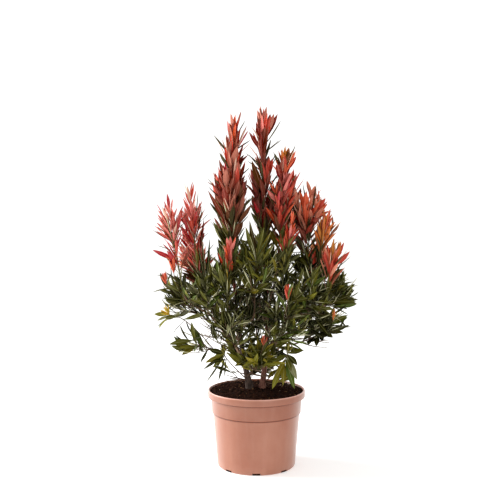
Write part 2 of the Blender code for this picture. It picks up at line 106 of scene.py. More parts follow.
Colour = tuple[float, float, float, float]
Pair = tuple[float, float]
Place = tuple[float, float, float]
Face = tuple[int, ...]


def linear(red: int, green: int, blue: int) -> Colour:
    """A colour as seen, 0 to 255 a channel, as the linear colour that a shader takes."""
    shares = (channel / 255 for channel in (red, green, blue))
    return (*(s / 12.92 if s <= 0.04045 else ((s + 0.055) / 1.055) ** 2.4 for s in shares), 1.0)


def blend_colours(first: Colour, second: Colour, share: float) -> Colour:
    """The colour that lies at this share of the way from the first to the second."""
    return tuple(a + (b - a) * share for a, b in zip(first, second))


# Shaders


class Value:
    """A node's output that Python's operators work on, each adding a Math node."""

    def __init__(self, graph: "Graph", socket: bpy.types.NodeSocket) -> None:
        """Keeps the graph that the socket belongs to."""
        self.graph = graph
        self.socket = socket

    def maths(self, operation: str, first: Any, second: Any) -> "Value":
        """One Math node on two operands, either of which may be a number."""
        settings = {"operation": operation}
        return self.graph.add("ShaderNodeMath", settings, {0: first, 1: second}, 0)

    def __add__(self, other: Any) -> "Value":
        """This value and another, added."""
        return self.maths("ADD", self, other)

    def __sub__(self, other: Any) -> "Value":
        """This value less another."""
        return self.maths("SUBTRACT", self, other)

    def __rsub__(self, other: Any) -> "Value":
        """A number less this value."""
        return self.maths("SUBTRACT", other, self)

    def __mul__(self, other: Any) -> "Value":
        """This value times another."""
        return self.maths("MULTIPLY", self, other)

    __radd__ = __add__
    __rmul__ = __mul__


class Graph:
    """The nodes of one material or world, round its shader."""

    def __init__(self, owner: Material | World, shader: str = "Principled BSDF") -> None:
        """Starts with the owner's own shader and output.

        Args:
            owner: the material or world.
            shader: the name of its shader's node.
        """
        self.owner = owner
        owner.use_nodes = True
        self.tree = owner.node_tree
        self.shader = self.tree.nodes[shader]

    def add(
        self, kind: str, settings: dict[str, Any], sockets: dict[str | int, Any], output: str | int
    ) -> Value:
        """Adds a node.

        Args:
            kind: the node's type in Blender.
            settings: what is set on the node before its sockets. Stops are a ramp's places and colours.
            sockets: the value of each input, or the Value that feeds it, by name or number.
            output: the output that is wanted, by name or number.

        Returns:
            That output.
        """
        node = self.tree.nodes.new(kind)
        for name, setting in settings.items():
            if name == "stops":
                self.set_stops(node.color_ramp, setting)
            else:
                setattr(node, name, setting)
        for name, given in sockets.items():
            self.feed(node.inputs[name], given)
        return Value(self, node.outputs[output])

    def set_stops(self, ramp: bpy.types.ColorRamp, stops: Sequence[tuple[float, Colour]]) -> None:
        """Gives a ramp its stops, in order.

        Args:
            ramp: the ramp.
            stops: the place and colour of each stop.
        """
        for element, (place, colour) in itertools.zip_longest(list(ramp.elements), stops):
            element = element or ramp.elements.new(place)
            element.position = place
            element.color = colour

    def feed(self, socket: bpy.types.NodeSocket, given: Any) -> None:
        """Links a Value to an input, or sets the input's own number.

        Args:
            socket: the input.
            given: the Value, or what the input is set to.
        """
        if isinstance(given, Value):
            self.tree.links.new(given.socket, socket)
        else:
            socket.default_value = given

    def finish(self, sockets: dict[str, Any]) -> Material | World:
        """Feeds the shader, once all the nodes are there.

        Args:
            sockets: what feeds each of the shader's inputs, by name.

        Returns:
            The material or world.
        """
        for name, given in sockets.items():
            self.feed(self.shader.inputs[name], given)
        return self.owner

    def place(self, stretch: Place = (1.0, 1.0, 1.0)) -> Value:
        """The point on the surface in the object's own metres, stretched along its axes."""
        own = self.add("ShaderNodeTexCoord", {}, {}, "Object")
        return self.add("ShaderNodeMapping", {}, {"Vector": own, "Scale": stretch}, "Vector")

    def noise(self, place: Value, scale: float, detail: float = 4.0, roughness: float = 0.55) -> Value:
        """Soft random patches, from 0 to 1."""
        sockets = {"Vector": place, "Scale": scale, "Detail": detail, "Roughness": roughness}
        return self.add("ShaderNodeTexNoise", {}, sockets, "Fac")

    def spots(self, place: Value, scale: float, smallest: float, largest: float) -> Value:
        """A mask that is 1 in the middle of scattered spots and 0 between them."""
        sockets = {"Vector": place, "Scale": scale}
        return self.fit(self.add("ShaderNodeTexVoronoi", {}, sockets, "Distance"), largest, smallest)

    def fit(self, value: Value, low: float, high: float) -> Value:
        """The value's share of the way from low to high, held between 0 and 1."""
        sockets = {"Value": value, "From Min": low, "From Max": high}
        return self.add("ShaderNodeMapRange", {"clamp": True}, sockets, "Result")

    def ramp(self, value: Value, stops: Sequence[tuple[float, Colour]]) -> Value:
        """A colour for each value, through these stops."""
        return self.add("ShaderNodeValToRGB", {"stops": stops}, {"Fac": value}, "Color")

    def mix(self, share: Any, first: Any, second: Any) -> Value:
        """A colour at this share of the way from the first to the second."""
        return self.add("ShaderNodeMix", {"data_type": "RGBA"}, {0: share, 6: first, 7: second}, 2)

    def bump(self, height: Value, depth: float) -> Value:
        """The surface's direction over a relief of this depth in metres."""
        sockets = {"Height": height, "Distance": depth, "Strength": 1.0}
        return self.add("ShaderNodeBump", {}, sockets, "Normal")


@dataclass(frozen=True)
class PotPlastic:
    """Moulded terracotta-coloured plastic: clouds, grain, a dusty foot, a darker collar and rim band, painted
    shade in the creases and a painted highlight on the lip.
    """

    name: str = "pot_plastic"
    colour: Colour = linear(151, 88, 60)
    cloud: Colour = linear(168, 114, 90)
    dust: Colour = linear(190, 146, 128)
    deep: Colour = linear(112, 62, 42)
    # The colour of the painted shade in the creases, and of the darker collar and rim band.
    darkening: Colour = linear(98, 44, 26)
    # A painted highlight along the top of the lip.
    lip: Colour = linear(222, 170, 154)
    roughness: float = 0.34
    specular: float = 0.5
    coat: float = 1.0
    height: float = 0.150
    creases: Pair = (0.1058, 0.1355)
    crease_width: float = 0.0028
    lip_highlight_height: float = 0.0022

    def bands(self) -> list[tuple[float, Colour]]:
        """How much the plastic is darkened, as stops from the foot to the rim: painted shade in the creases,
        and less over the collar and rim band.

        Returns:
            The place and the shade of grey of each stop.
        """
        clean, upper_darkening, crease_shade = ((share, share, share, 1.0) for share in (0.0, 0.22, 1.0))
        stops = [(0.0, clean), (0.45, clean)]
        half = self.crease_width / 2
        for crease in self.creases:
            places = (crease - 2 * half, crease - half / 2, crease + half / 2, crease + half)
            stops += zip((place / self.height for place in places), (stops[-1][1], crease_shade, crease_shade, upper_darkening))
        return [*stops, (0.970, upper_darkening), (0.985, clean)]

    def make(self) -> Material:
        """Builds the nodes.

        Returns:
            The material.
        """
        graph = Graph(bpy.data.materials.new(self.name))
        place = graph.place()
        clouds = graph.fit(graph.noise(place, 14.0), 0.35, 0.70)
        streaks = graph.fit(graph.noise(graph.place((60.0, 60.0, 5.0)), 1.0, 3.0), 0.45, 0.80)
        grain = graph.noise(place, 900.0, 2.0)
        height = graph.add("ShaderNodeSeparateXYZ", {}, {"Vector": place}, "Z")
        foot = graph.fit(height + graph.noise(place, 40.0) * 0.02, 0.030, 0.004)
        specks = graph.spots(place, 190.0, 0.10, 0.16)
        colour = graph.mix(clouds * 0.6, self.colour, self.cloud)
        colour = graph.mix(streaks * 0.14 + foot * 0.25, colour, self.dust)
        colour = graph.mix(specks * 0.18, colour, self.deep)
        # Painted shade in the creases under the rim and at the step, a lighter darkening over the collar and
        # rim band, and less coat where it is darkest.
        bands = graph.ramp(height * (1 / self.height), self.bands())
        darkening = graph.add("ShaderNodeSeparateColor", {}, {"Color": bands}, "Red")
        colour = graph.mix(darkening * (0.72 + grain * 0.25), colour, self.darkening)
        # Painted highlight: the top of the lip is mixed towards a pale colour.
        lip = graph.fit(height, self.height - self.lip_highlight_height, self.height - self.lip_highlight_height / 3)
        colour = graph.mix(lip * 0.8, colour, self.lip)
        relief = grain * 0.7 + graph.noise(place, 60.0, 2.0)
        return graph.finish({
            "Base Color": colour,
            "Roughness": self.roughness + (clouds - streaks) * 0.08 + grain * 0.06,
            "Specular IOR Level": self.specular,
            "Coat Weight": (1 - darkening) * self.coat,
            "Coat Roughness": self.roughness,
            "Normal": graph.bump(relief, 0.00012),
        })


@dataclass(frozen=True)
class PottingSoil:
    """Damp peat compost: almost black, with brown fibres and a gritty relief."""

    name: str = "potting_soil"
    dark: Colour = linear(36, 16, 9)
    middle: Colour = linear(62, 34, 20)
    fibre: Colour = linear(88, 50, 36)
    roughness: float = 0.88
    specular: float = 0.12

    def make(self) -> Material:
        """Builds the nodes.

        Returns:
            The material.
        """
        graph = Graph(bpy.data.materials.new(self.name))
        place = graph.place()
        clods = graph.noise(place, 160.0, 6.0, 0.7)
        grit = graph.noise(place, 900.0, 3.0, 0.7)
        fibres = graph.spots(graph.place((1.0, 0.3, 1.0)), 420.0, 0.05, 0.16)
        colour = graph.ramp(clods * 0.6 + grit * 0.4, ((0.36, self.dark), (0.66, self.middle)))
        colour = graph.mix(fibres * 0.5, colour, self.fibre)
        return graph.finish({
            "Base Color": colour,
            "Roughness": self.roughness - fibres * 0.15,
            "Specular IOR Level": self.specular,
            "Normal": graph.bump(clods * 0.7 + grit * 0.5, 0.0022),
        })


@dataclass(frozen=True)
class Bark:
    """Thin bark in long furrows and flakes over a smoother ground, paler on its ridges."""

    name: str
    furrow: Colour
    ground: Colour
    ridge: Colour
    roughness: float = 0.82

    def make(self) -> Material:
        """Builds the nodes.

        Returns:
            The material.
        """
        graph = Graph(bpy.data.materials.new(self.name))
        long_grain = graph.place((420.0, 420.0, 60.0))
        furrows = graph.noise(long_grain, 1.0, 5.0, 0.65)
        patches = graph.noise(graph.place((1.0, 1.0, 0.5)), 70.0, 3.0)
        rings = graph.noise(graph.place((30.0, 30.0, 700.0)), 1.0, 2.0)
        shade = furrows * 0.7 + patches * 0.2 + rings * 0.1
        stops = ((0.34, self.furrow), (0.48, self.ground), (0.66, self.ridge))
        return graph.finish({
            "Base Color": graph.ramp(shade, stops),
            "Roughness": self.roughness - patches * 0.15,
            "Normal": graph.bump(furrows * 0.8 + rings * 0.3, 0.0009),
        })


@dataclass(frozen=True)
class PlainFinish:
    """One even colour, for leaves and crumbs that are too small to hold a pattern of their own."""

    name: str
    colour: Colour
    roughness: float
    specular: float = 0.5

    def make(self) -> Material:
        """Sets the three inputs that differ.

        Returns:
            The material.
        """
        return Graph(bpy.data.materials.new(self.name)).finish({
            "Base Color": self.colour,
            "Roughness": self.roughness,
            "Specular IOR Level": self.specular,
        })


@dataclass(frozen=True)
class FloorPaper:
    """The plain pale floor, lit from below like a light table."""

    name: str = "floor_paper"
    colour: Colour = linear(244, 244, 243)
    glow: float = 0.36

    def make(self) -> Material:
        """Builds the nodes, with a grain too fine to see from the camera.

        Returns:
            The material.
        """
        graph = Graph(bpy.data.materials.new(self.name))
        grain = graph.noise(graph.place(), 400.0, 2.0)
        return graph.finish({
            "Base Color": self.colour,
            "Roughness": 0.9,
            "Specular IOR Level": 0.1,
            "Emission Color": self.colour,
            "Emission Strength": self.glow,
            "Normal": graph.bump(grain, 0.00005),
        })


class Tone(Enum):
    """The colours of leaves, from old leaves to the newest growth, as seen in even light."""

    SHADE_GREEN = linear(29, 29, 8)
    DEEP_GREEN = linear(52, 51, 12)
    GREEN = linear(84, 83, 24)
    FRESH_GREEN = linear(74, 88, 24)
    BRIGHT_GREEN = linear(122, 118, 42)
    GREY_GREEN = linear(114, 113, 80)
    # Partly the colour of pale leaves seen edge on, partly a painted highlight for the gloss on the foliage.
    PALE_GREY_GREEN = linear(190, 187, 154)
    OLIVE = linear(108, 98, 24)
    YELLOW_GREEN = linear(142, 130, 42)
    DARK_OLIVE = linear(62, 48, 22)
    BROWN_OLIVE = linear(98, 60, 20)
    BROWN_RED = linear(118, 50, 24)
    MAROON = linear(84, 24, 12)
    DARK_RED = linear(122, 34, 16)
    CRIMSON = linear(174, 46, 54)
    RED = linear(178, 54, 30)
    ROSE_BROWN = linear(168, 102, 82)
    # Partly the colour of pale young leaves, partly a painted highlight for their gloss.
    PALE_ROSE = linear(222, 176, 158)
    PINK_RED = linear(208, 118, 108)
    ORANGE_RED = linear(200, 84, 40)
    ORANGE = linear(198, 112, 44)
    SALMON = linear(212, 138, 110)
    AMBER = linear(188, 122, 40)
    YELLOW = linear(206, 172, 60)

    def is_red(self) -> bool:
        """Whether it is more of a red than a green."""
        return self.value[0] > 2 * self.value[1]


FINISHES_A_LEAF = 3
PALE_GREEN = linear(176, 176, 132)
PALE_PINK = linear(232, 168, 156)


@dataclass(frozen=True)
class LeafFinish:
    """A leaf's finish: a blade with a soft wax gloss, a duller and paler underside, and a pale midrib."""

    tone: Tone
    roughness: float = 0.33
    under_roughness: float = 0.50
    specular: float = 0.16
    dull_below: float = 0.08
    paler_under: float = 0.10
    paler_rib: float = 0.34

    def make(self) -> list[Material]:
        """Makes the leaf paler where it is.

        Returns:
            The materials of the blade, the underside and the midrib.
        """
        name = "leaf_" + self.tone.name.lower()
        gloss = self.specular * min(1.0, max(self.tone.value[:2]) / self.dull_below)
        pale = PALE_PINK if self.tone.is_red() else PALE_GREEN
        under = blend_colours(self.tone.value, pale, self.paler_under)
        rib = blend_colours(self.tone.value, pale, self.paler_rib)
        finishes = (
            PlainFinish(name, self.tone.value, self.roughness, gloss),
            PlainFinish(name + "_under", under, self.under_roughness, gloss),
            PlainFinish(name + "_rib", rib, self.under_roughness, gloss),
        )
        return [finish.make() for finish in finishes]


# Meshes


@dataclass
class MeshHeap:
    """Points and faces that are gathered into one mesh, each face with the number of its material."""

    points: list[np.ndarray] = field(default_factory=list)
    faces: list[Face] = field(default_factory=list)
    finishes: list[int] = field(default_factory=list)
    count: int = 0

    def add(self, points: Any, faces: Iterable[Face], finishes: Iterable[int]) -> None:
        """Adds a shape.

        Args:
            points: its points, one row each.
            faces: the numbers of the points of each face, from 0.
            finishes: the number of each face's material.
        """
        points = np.asarray(points, float).reshape(-1, 3)
        self.faces += [tuple(corner + self.count for corner in face) for face in faces]
        self.finishes += finishes
        self.points.append(points)
        self.count += len(points)

    def make(self, name: str, materials: Sequence[Material], sharp: float) -> Object:
        """The object, riding on the plant's body.

        Args:
            name: the piece's name.
            materials: the materials that the faces' numbers stand for.
            sharp: the least angle between two faces that shows as an edge.

        Returns:
            The object.
        """
        mesh = bpy.data.meshes.new(name)
        mesh.from_pydata(np.concatenate(self.points), [], self.faces)
        used = sorted(set(self.finishes))
        for number in used:
            mesh.materials.append(materials[number])
        places = {number: place for place, number in enumerate(used)}
        mesh.polygons.foreach_set("material_index", [places[number] for number in self.finishes])
        mesh.shade_smooth()
        mesh.set_sharp_from_angle(angle=sharp)
        return place_piece(name, mesh)


def linked(name: str, data: bpy.types.ID) -> Object:
    """Links new data to the scene.

    Args:
        name: the object's name.
        data: its mesh, camera or light.

    Returns:
        The object.
    """
    made = bpy.data.objects.new(name, data)
    bpy.context.scene.collection.objects.link(made)
    return made


def place_piece(name: str, mesh: Mesh) -> Object:
    """An object of this mesh in the scene, riding on the plant's body."""
    piece = linked(name, mesh)
    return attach(piece, BODY)


def mesh_from(name: str, shape: bmesh.types.BMesh, material: Material | None = None) -> Mesh:
    """A smooth mesh from a bmesh, which is freed.

    Args:
        name: the mesh's name.
        shape: the bmesh.
        material: its material, if it shows.

    Returns:
        The mesh.
    """
    mesh = bpy.data.meshes.new(name)
    shape.to_mesh(mesh)
    shape.free()
    if material:
        mesh.materials.append(material)
    mesh.shade_smooth()
    mesh.set_sharp_from_angle(angle=SHARP_EDGE)
    return mesh


def arrays_of(shape: bmesh.types.BMesh) -> tuple[np.ndarray, list[Face]]:
    """The points and faces of a bmesh, which is freed.

    Args:
        shape: the bmesh.

    Returns:
        Its points, one row each, and its faces.
    """
    points = np.array([vertex.co for vertex in shape.verts])
    faces = [tuple(vertex.index for vertex in face.verts) for face in shape.faces]
    shape.free()
    return points, faces


def in_order(mesh: Mesh) -> tuple[list[Place], list[Face]]:
    """The points and faces of a mesh in an order that is the same each run, which a cut doesn't keep.

    Args:
        mesh: the mesh.

    Returns:
        Its points and its faces.
    """
    points = [tuple(vertex.co) for vertex in mesh.vertices]
    numbers = {old: new for new, old in enumerate(sorted(range(len(points)), key=points.__getitem__))}
    faces = []
    for polygon in mesh.polygons:
        corners = [numbers[old] for old in polygon.vertices]
        first = corners.index(min(corners))
        faces.append((*corners[first:], *corners[:first]))
    return sorted(points), sorted(faces)


# Limbs


@dataclass(frozen=True)
class Limb:
    """A stem, bough or twig: the points of its middle line, and its direction and radius at each."""

    path: list[Vector]
    along: list[Vector]
    radii: list[float]

    def at(self, share: float) -> tuple[Vector, Vector, float]:
        """Where the limb is at a share of its path.

        Args:
            share: the share of the path, from 0 to 1.

        Returns:
            The point, the direction and the radius.
        """
        place = share * (len(self.path) - 1)
        below = min(int(place), len(self.path) - 2)
        part = place - below
        point = self.path[below].lerp(self.path[below + 1], part)
        direction = self.along[below].lerp(self.along[below + 1], part).normalized()
        return point, direction, self.radii[below] * (1 - part) + self.radii[below + 1] * part

    def length(self) -> float:
        """The straight distance from end to end."""
        return (self.path[-1] - self.path[0]).length

    def tube(
        self, sides: int, relief: Callable[[Vector, Vector, float], float]
    ) -> tuple[list[Vector], list[Face]]:
        """A closed tube along the limb.

        Args:
            sides: how many sides it has.
            relief: how far it stands out, from a point on the middle line, the way out and the radius.

        Returns:
            Its points and its faces.
        """
        side = square_to(self.along[0])
        points = []
        for point, direction, radius in zip(self.path, self.along, self.radii):
            side = (side - direction * side.dot(direction)).normalized()
            for number in range(sides):
                outward = Quaternion(direction, 2 * pi * number / sides) @ side
                points.append(point + outward * (radius + relief(point, outward, radius)))
        last = sides * (len(self.path) - 1)
        faces = []
        for below, number in itertools.product(range(0, last, sides), range(sides)):
            above, after = below + sides, (number + 1) % sides
            faces.append((below + number, below + after, above + after, above + number))
        return points, [*faces, tuple(reversed(range(sides))), tuple(range(last, last + sides))]


def taper(first: float, last: float, count: int) -> list[float]:
    """Evenly spaced numbers from first to last."""
    return [first + (last - first) * k / (count - 1) for k in range(count)]


def metres(lengths: Iterable[float]) -> Vector:
    """The point whose coordinates in millimetres are these."""
    return Vector([length / MILLIMETRES for length in lengths])


def square_to(direction: Vector) -> Vector:
    """A direction at right angles to this one."""
    other = Vector((0, 0, 1)) if abs(direction.z) < UPRIGHT else Vector((1, 0, 0))
    return direction.cross(other).normalized()


def curve_at(controls: Sequence[Vector], share: float) -> tuple[Vector, Vector]:
    """Where the smooth curve of these control points is at a share of its length.

    Args:
        controls: the control points.
        share: the share, from 0 to 1.

    Returns:
        The point and the direction.
    """
    while len(controls) > 2:
        controls = [first.lerp(second, share) for first, second in zip(controls, controls[1:])]
    return controls[0].lerp(controls[1], share), (controls[1] - controls[0]).normalized()


def curved_limb(controls: Sequence[Vector], radii: list[float]) -> Limb:
    """A limb along the smooth curve of these control points, with a point for each radius."""
    places = [curve_at(controls, share) for share in taper(0.0, 1.0, len(radii))]
    return Limb([point for point, _ in places], [direction for _, direction in places], radii)


# The plan of the shrub, as in its solids


class Growth(Enum):
    """How a mass of foliage grows."""

    LEADER = "leader"
    TUFT = "tuft"
    SPRAY = "spray"


@dataclass(frozen=True)
class Habit:
    """How a growth forks, and how its leaves open at foot and tip, follow each other, bend and stray.

    Its leaves crowd towards each tip where crowding is below 1, and foot_spread opens its lowest ones wider.
    Strays are old, thin leaves that stand away. Streaks are pale leaves that lie close, edge on; they are
    partly real pale leaves and partly a painted highlight for the gloss on the foliage.
    """

    fork: float
    open_foot: float
    open_tip: float
    pitch: float
    leaf_length: float
    leaf_width: float
    bend: float
    sag: float
    extra: int
    finer: int
    thinnest: float
    bare: float
    strays: float
    stray_open: Pair
    streaks: float
    tuft_share: float
    twig_colour: Colour
    crowding: float = 1.0
    foot_spread: float = 0.0


HABITS = {
    Growth.LEADER: Habit(
        fork=radians(21), open_foot=radians(22), open_tip=radians(14), pitch=0.0038,
        leaf_length=0.054, leaf_width=0.0140, bend=0.08, sag=0.0, extra=7, finer=0, thinnest=0.0008,
        bare=0.05, strays=0.13, stray_open=(radians(34), radians(58)), streaks=0.14,
        tuft_share=0.76, twig_colour=linear(132, 60, 38), crowding=0.74, foot_spread=radians(34),
    ),
    Growth.TUFT: Habit(
        fork=radians(22), open_foot=radians(36), open_tip=radians(17), pitch=0.0043,
        leaf_length=0.049, leaf_width=0.0106, bend=0.06, sag=0.02, extra=2, finer=1, thinnest=0.0007,
        bare=0.10, strays=0.12, stray_open=(radians(45), radians(85)), streaks=0.12,
        tuft_share=0.60, twig_colour=linear(108, 104, 56), crowding=0.85, foot_spread=radians(42),
    ),
    Growth.SPRAY: Habit(
        fork=radians(46), open_foot=radians(62), open_tip=radians(26), pitch=0.0054,
        leaf_length=0.050, leaf_width=0.0108, bend=-0.22, sag=0.06, extra=4, finer=2, thinnest=0.0006,
        bare=0.18, strays=0.20, stray_open=(radians(60), radians(100)), streaks=0.18,
        tuft_share=0.62, twig_colour=linear(96, 72, 52),
    ),
}


def bands(colours: dict[float, str]) -> tuple[tuple[float, tuple[Tone, ...]], ...]:
    """The bands of a dress, from where each one ends and its colours' names, the frequent ones repeated."""
    return tuple((end, tuple(Tone[name.upper()] for name in names.split())) for end, names in colours.items())


class Dress(Enum):
    """A mass's leaf colours, in bands from its foot to its tips."""

    SHADE = bands({
        0.50: "shade_green deep_green shade_green grey_green",
        2.00: "deep_green grey_green green shade_green deep_green",
    })
    CORAL = bands({
        0.38: "green olive deep_green",
        0.48: "yellow_green orange yellow",
        2.00: "orange_red pink_red orange_red red",
    })
    # Painted light: greens lighter than the leaves' own, for low leaves that sit in the shade of the crown.
    SUNLIT = bands({
        0.40: "green olive deep_green",
        2.00: "bright_green green olive bright_green green yellow_green",
    })
    GREEN = bands({
        0.40: "deep_green deep_green green",
        0.75: "deep_green green fresh_green grey_green",
        2.00: "green fresh_green bright_green green deep_green",
    })
    OLIVE = bands({
        0.35: "deep_green green",
        0.62: "green olive deep_green",
        2.00: "green olive fresh_green deep_green bright_green",
    })
    LEADER_LEFT = bands({
        0.30: "olive green dark_olive deep_green",
        0.42: "brown_olive dark_olive brown_red brown_olive",
        0.56: "brown_red brown_olive rose_brown dark_red brown_red",
        0.86: "red crimson dark_red brown_red red rose_brown",
        2.00: "red pink_red orange_red rose_brown red",
    })
    LEADER_MIDDLE = bands({
        0.26: "olive green bright_green dark_olive",
        0.36: "olive brown_olive dark_olive dark_red",
        0.54: "brown_red dark_red brown_olive rose_brown maroon",
        0.82: "red brown_red dark_red rose_brown red",
        2.00: "pink_red rose_brown red brown_red",
    })
    LEADER_RIGHT = bands({
        0.10: "olive green",
        0.24: "brown_red brown_olive dark_red",
        0.70: "red crimson orange_red dark_red pink_red red",
        0.80: "red orange_red brown_red",
        2.00: "orange amber orange_red brown_olive",
    })
    FLAME = bands({
        0.52: "green olive deep_green",
        0.60: "olive brown_red red",
        2.00: "orange_red red pink_red red orange_red",
    })
    SALMON = bands({
        0.20: "green deep_green brown_olive",
        0.38: "brown_red brown_olive dark_olive",
        0.50: "red brown_red salmon brown_olive",
        2.00: "salmon orange_red salmon red rose_brown salmon",
    })
    AMBER = bands({
        0.28: "green deep_green olive",
        0.38: "olive brown_red orange",
        2.00: "amber brown_olive orange orange_red brown_red amber",
    })
    EMBER = bands({
        0.06: "green olive",
        0.16: "olive red brown_olive",
        0.58: "red orange_red salmon red",
        2.00: "orange orange_red red amber",
    })
    ROSE = bands({
        0.14: "green deep_green olive",
        0.22: "olive dark_red brown_red",
        0.52: "crimson red pink_red crimson",
        2.00: "pink_red crimson pink_red pale_rose red",
    })
    BRONZE = bands({
        0.30: "green olive",
        0.60: "olive brown_olive brown_red",
        2.00: "brown_red dark_red red",
    })

    def tones(self, place: float) -> tuple[Tone, ...]:
        """The colours of the band that this place lies in."""
        return next(tones for end, tones in self.value if place <= end)


@dataclass(frozen=True)
class StemPlan:
    """A stem from its foot on the soil to its tip, bowed sideways by its middle, and its bark.

    In all the plans of the shrub, the places, radii and heights are in millimetres.
    """

    foot: Pair
    tip: Place
    bow: Pair
    foot_radius: float
    tip_radius: float
    bark: Bark


@dataclass(frozen=True)
class Bud:
    """A bright young shoot among the green: its tip, size and two colours, its stalk's place and arch."""

    tip: Place
    tone: Tone
    size: float = 1.0
    share: float = 0.6
    arch: float = 0
    other: Tone = Tone.ORANGE_RED


@dataclass(frozen=True)
class Leaf:
    """A leaf that stands out by itself: its place along its shoot, its tip, its colour and its width.

    Its shoot is the main one, or the stalk of the mass's first bud.
    """

    share: float
    tip: Place
    tone: Tone
    width: float
    on_bud: bool = False


@dataclass(frozen=True)
class MassPlan:
    """A mass of foliage from the tip of its bough to its furthest leaf tip, and its colours.

    A mass with no foot has no bough: it grows straight from the parent, and at a share of 1 from its tip.
    Openness widens the angle of its leaves, reach is how much of its radius they use, and run is how much of
    its length its main shoot does. Its leaves stay above lowest, and above more by rise further out.
    """

    growth: Growth
    foot: Place | None
    tip: Place
    radius: float
    side_twigs: int
    parent: str
    parent_share: float
    dress: Dress = Dress.GREEN
    side_dress: Dress | None = None
    side_reach: float = 1.0
    spacing: float = 1.0
    leaf_scale: float = 1.0
    leaf_width: float = 1.0
    openness: float = 1.0
    reach: float = 1.0
    run: float = 1.0
    lowest: float = 157
    rise: float = 0.0
    buds: tuple[Bud, ...] = ()


GREY_BARK = Bark("bark_grey", linear(30, 22, 18), linear(66, 50, 42), linear(108, 90, 78))
RED_BARK = Bark("bark_red", linear(58, 30, 24), linear(116, 74, 60), linear(158, 118, 100))
YOUNG_BARK = Bark("bark_young", linear(86, 62, 48), linear(138, 108, 86), linear(184, 156, 130), 0.72)

STEMS = {
    "stem_left": StemPlan((-13, 0), (-41, -7, 336), (-3, 0), 6.8, 3.4, GREY_BARK),
    "stem_right": StemPlan((11, 0), (20, 9, 336), (4, 0), 6.0, 3.1, RED_BARK),
}

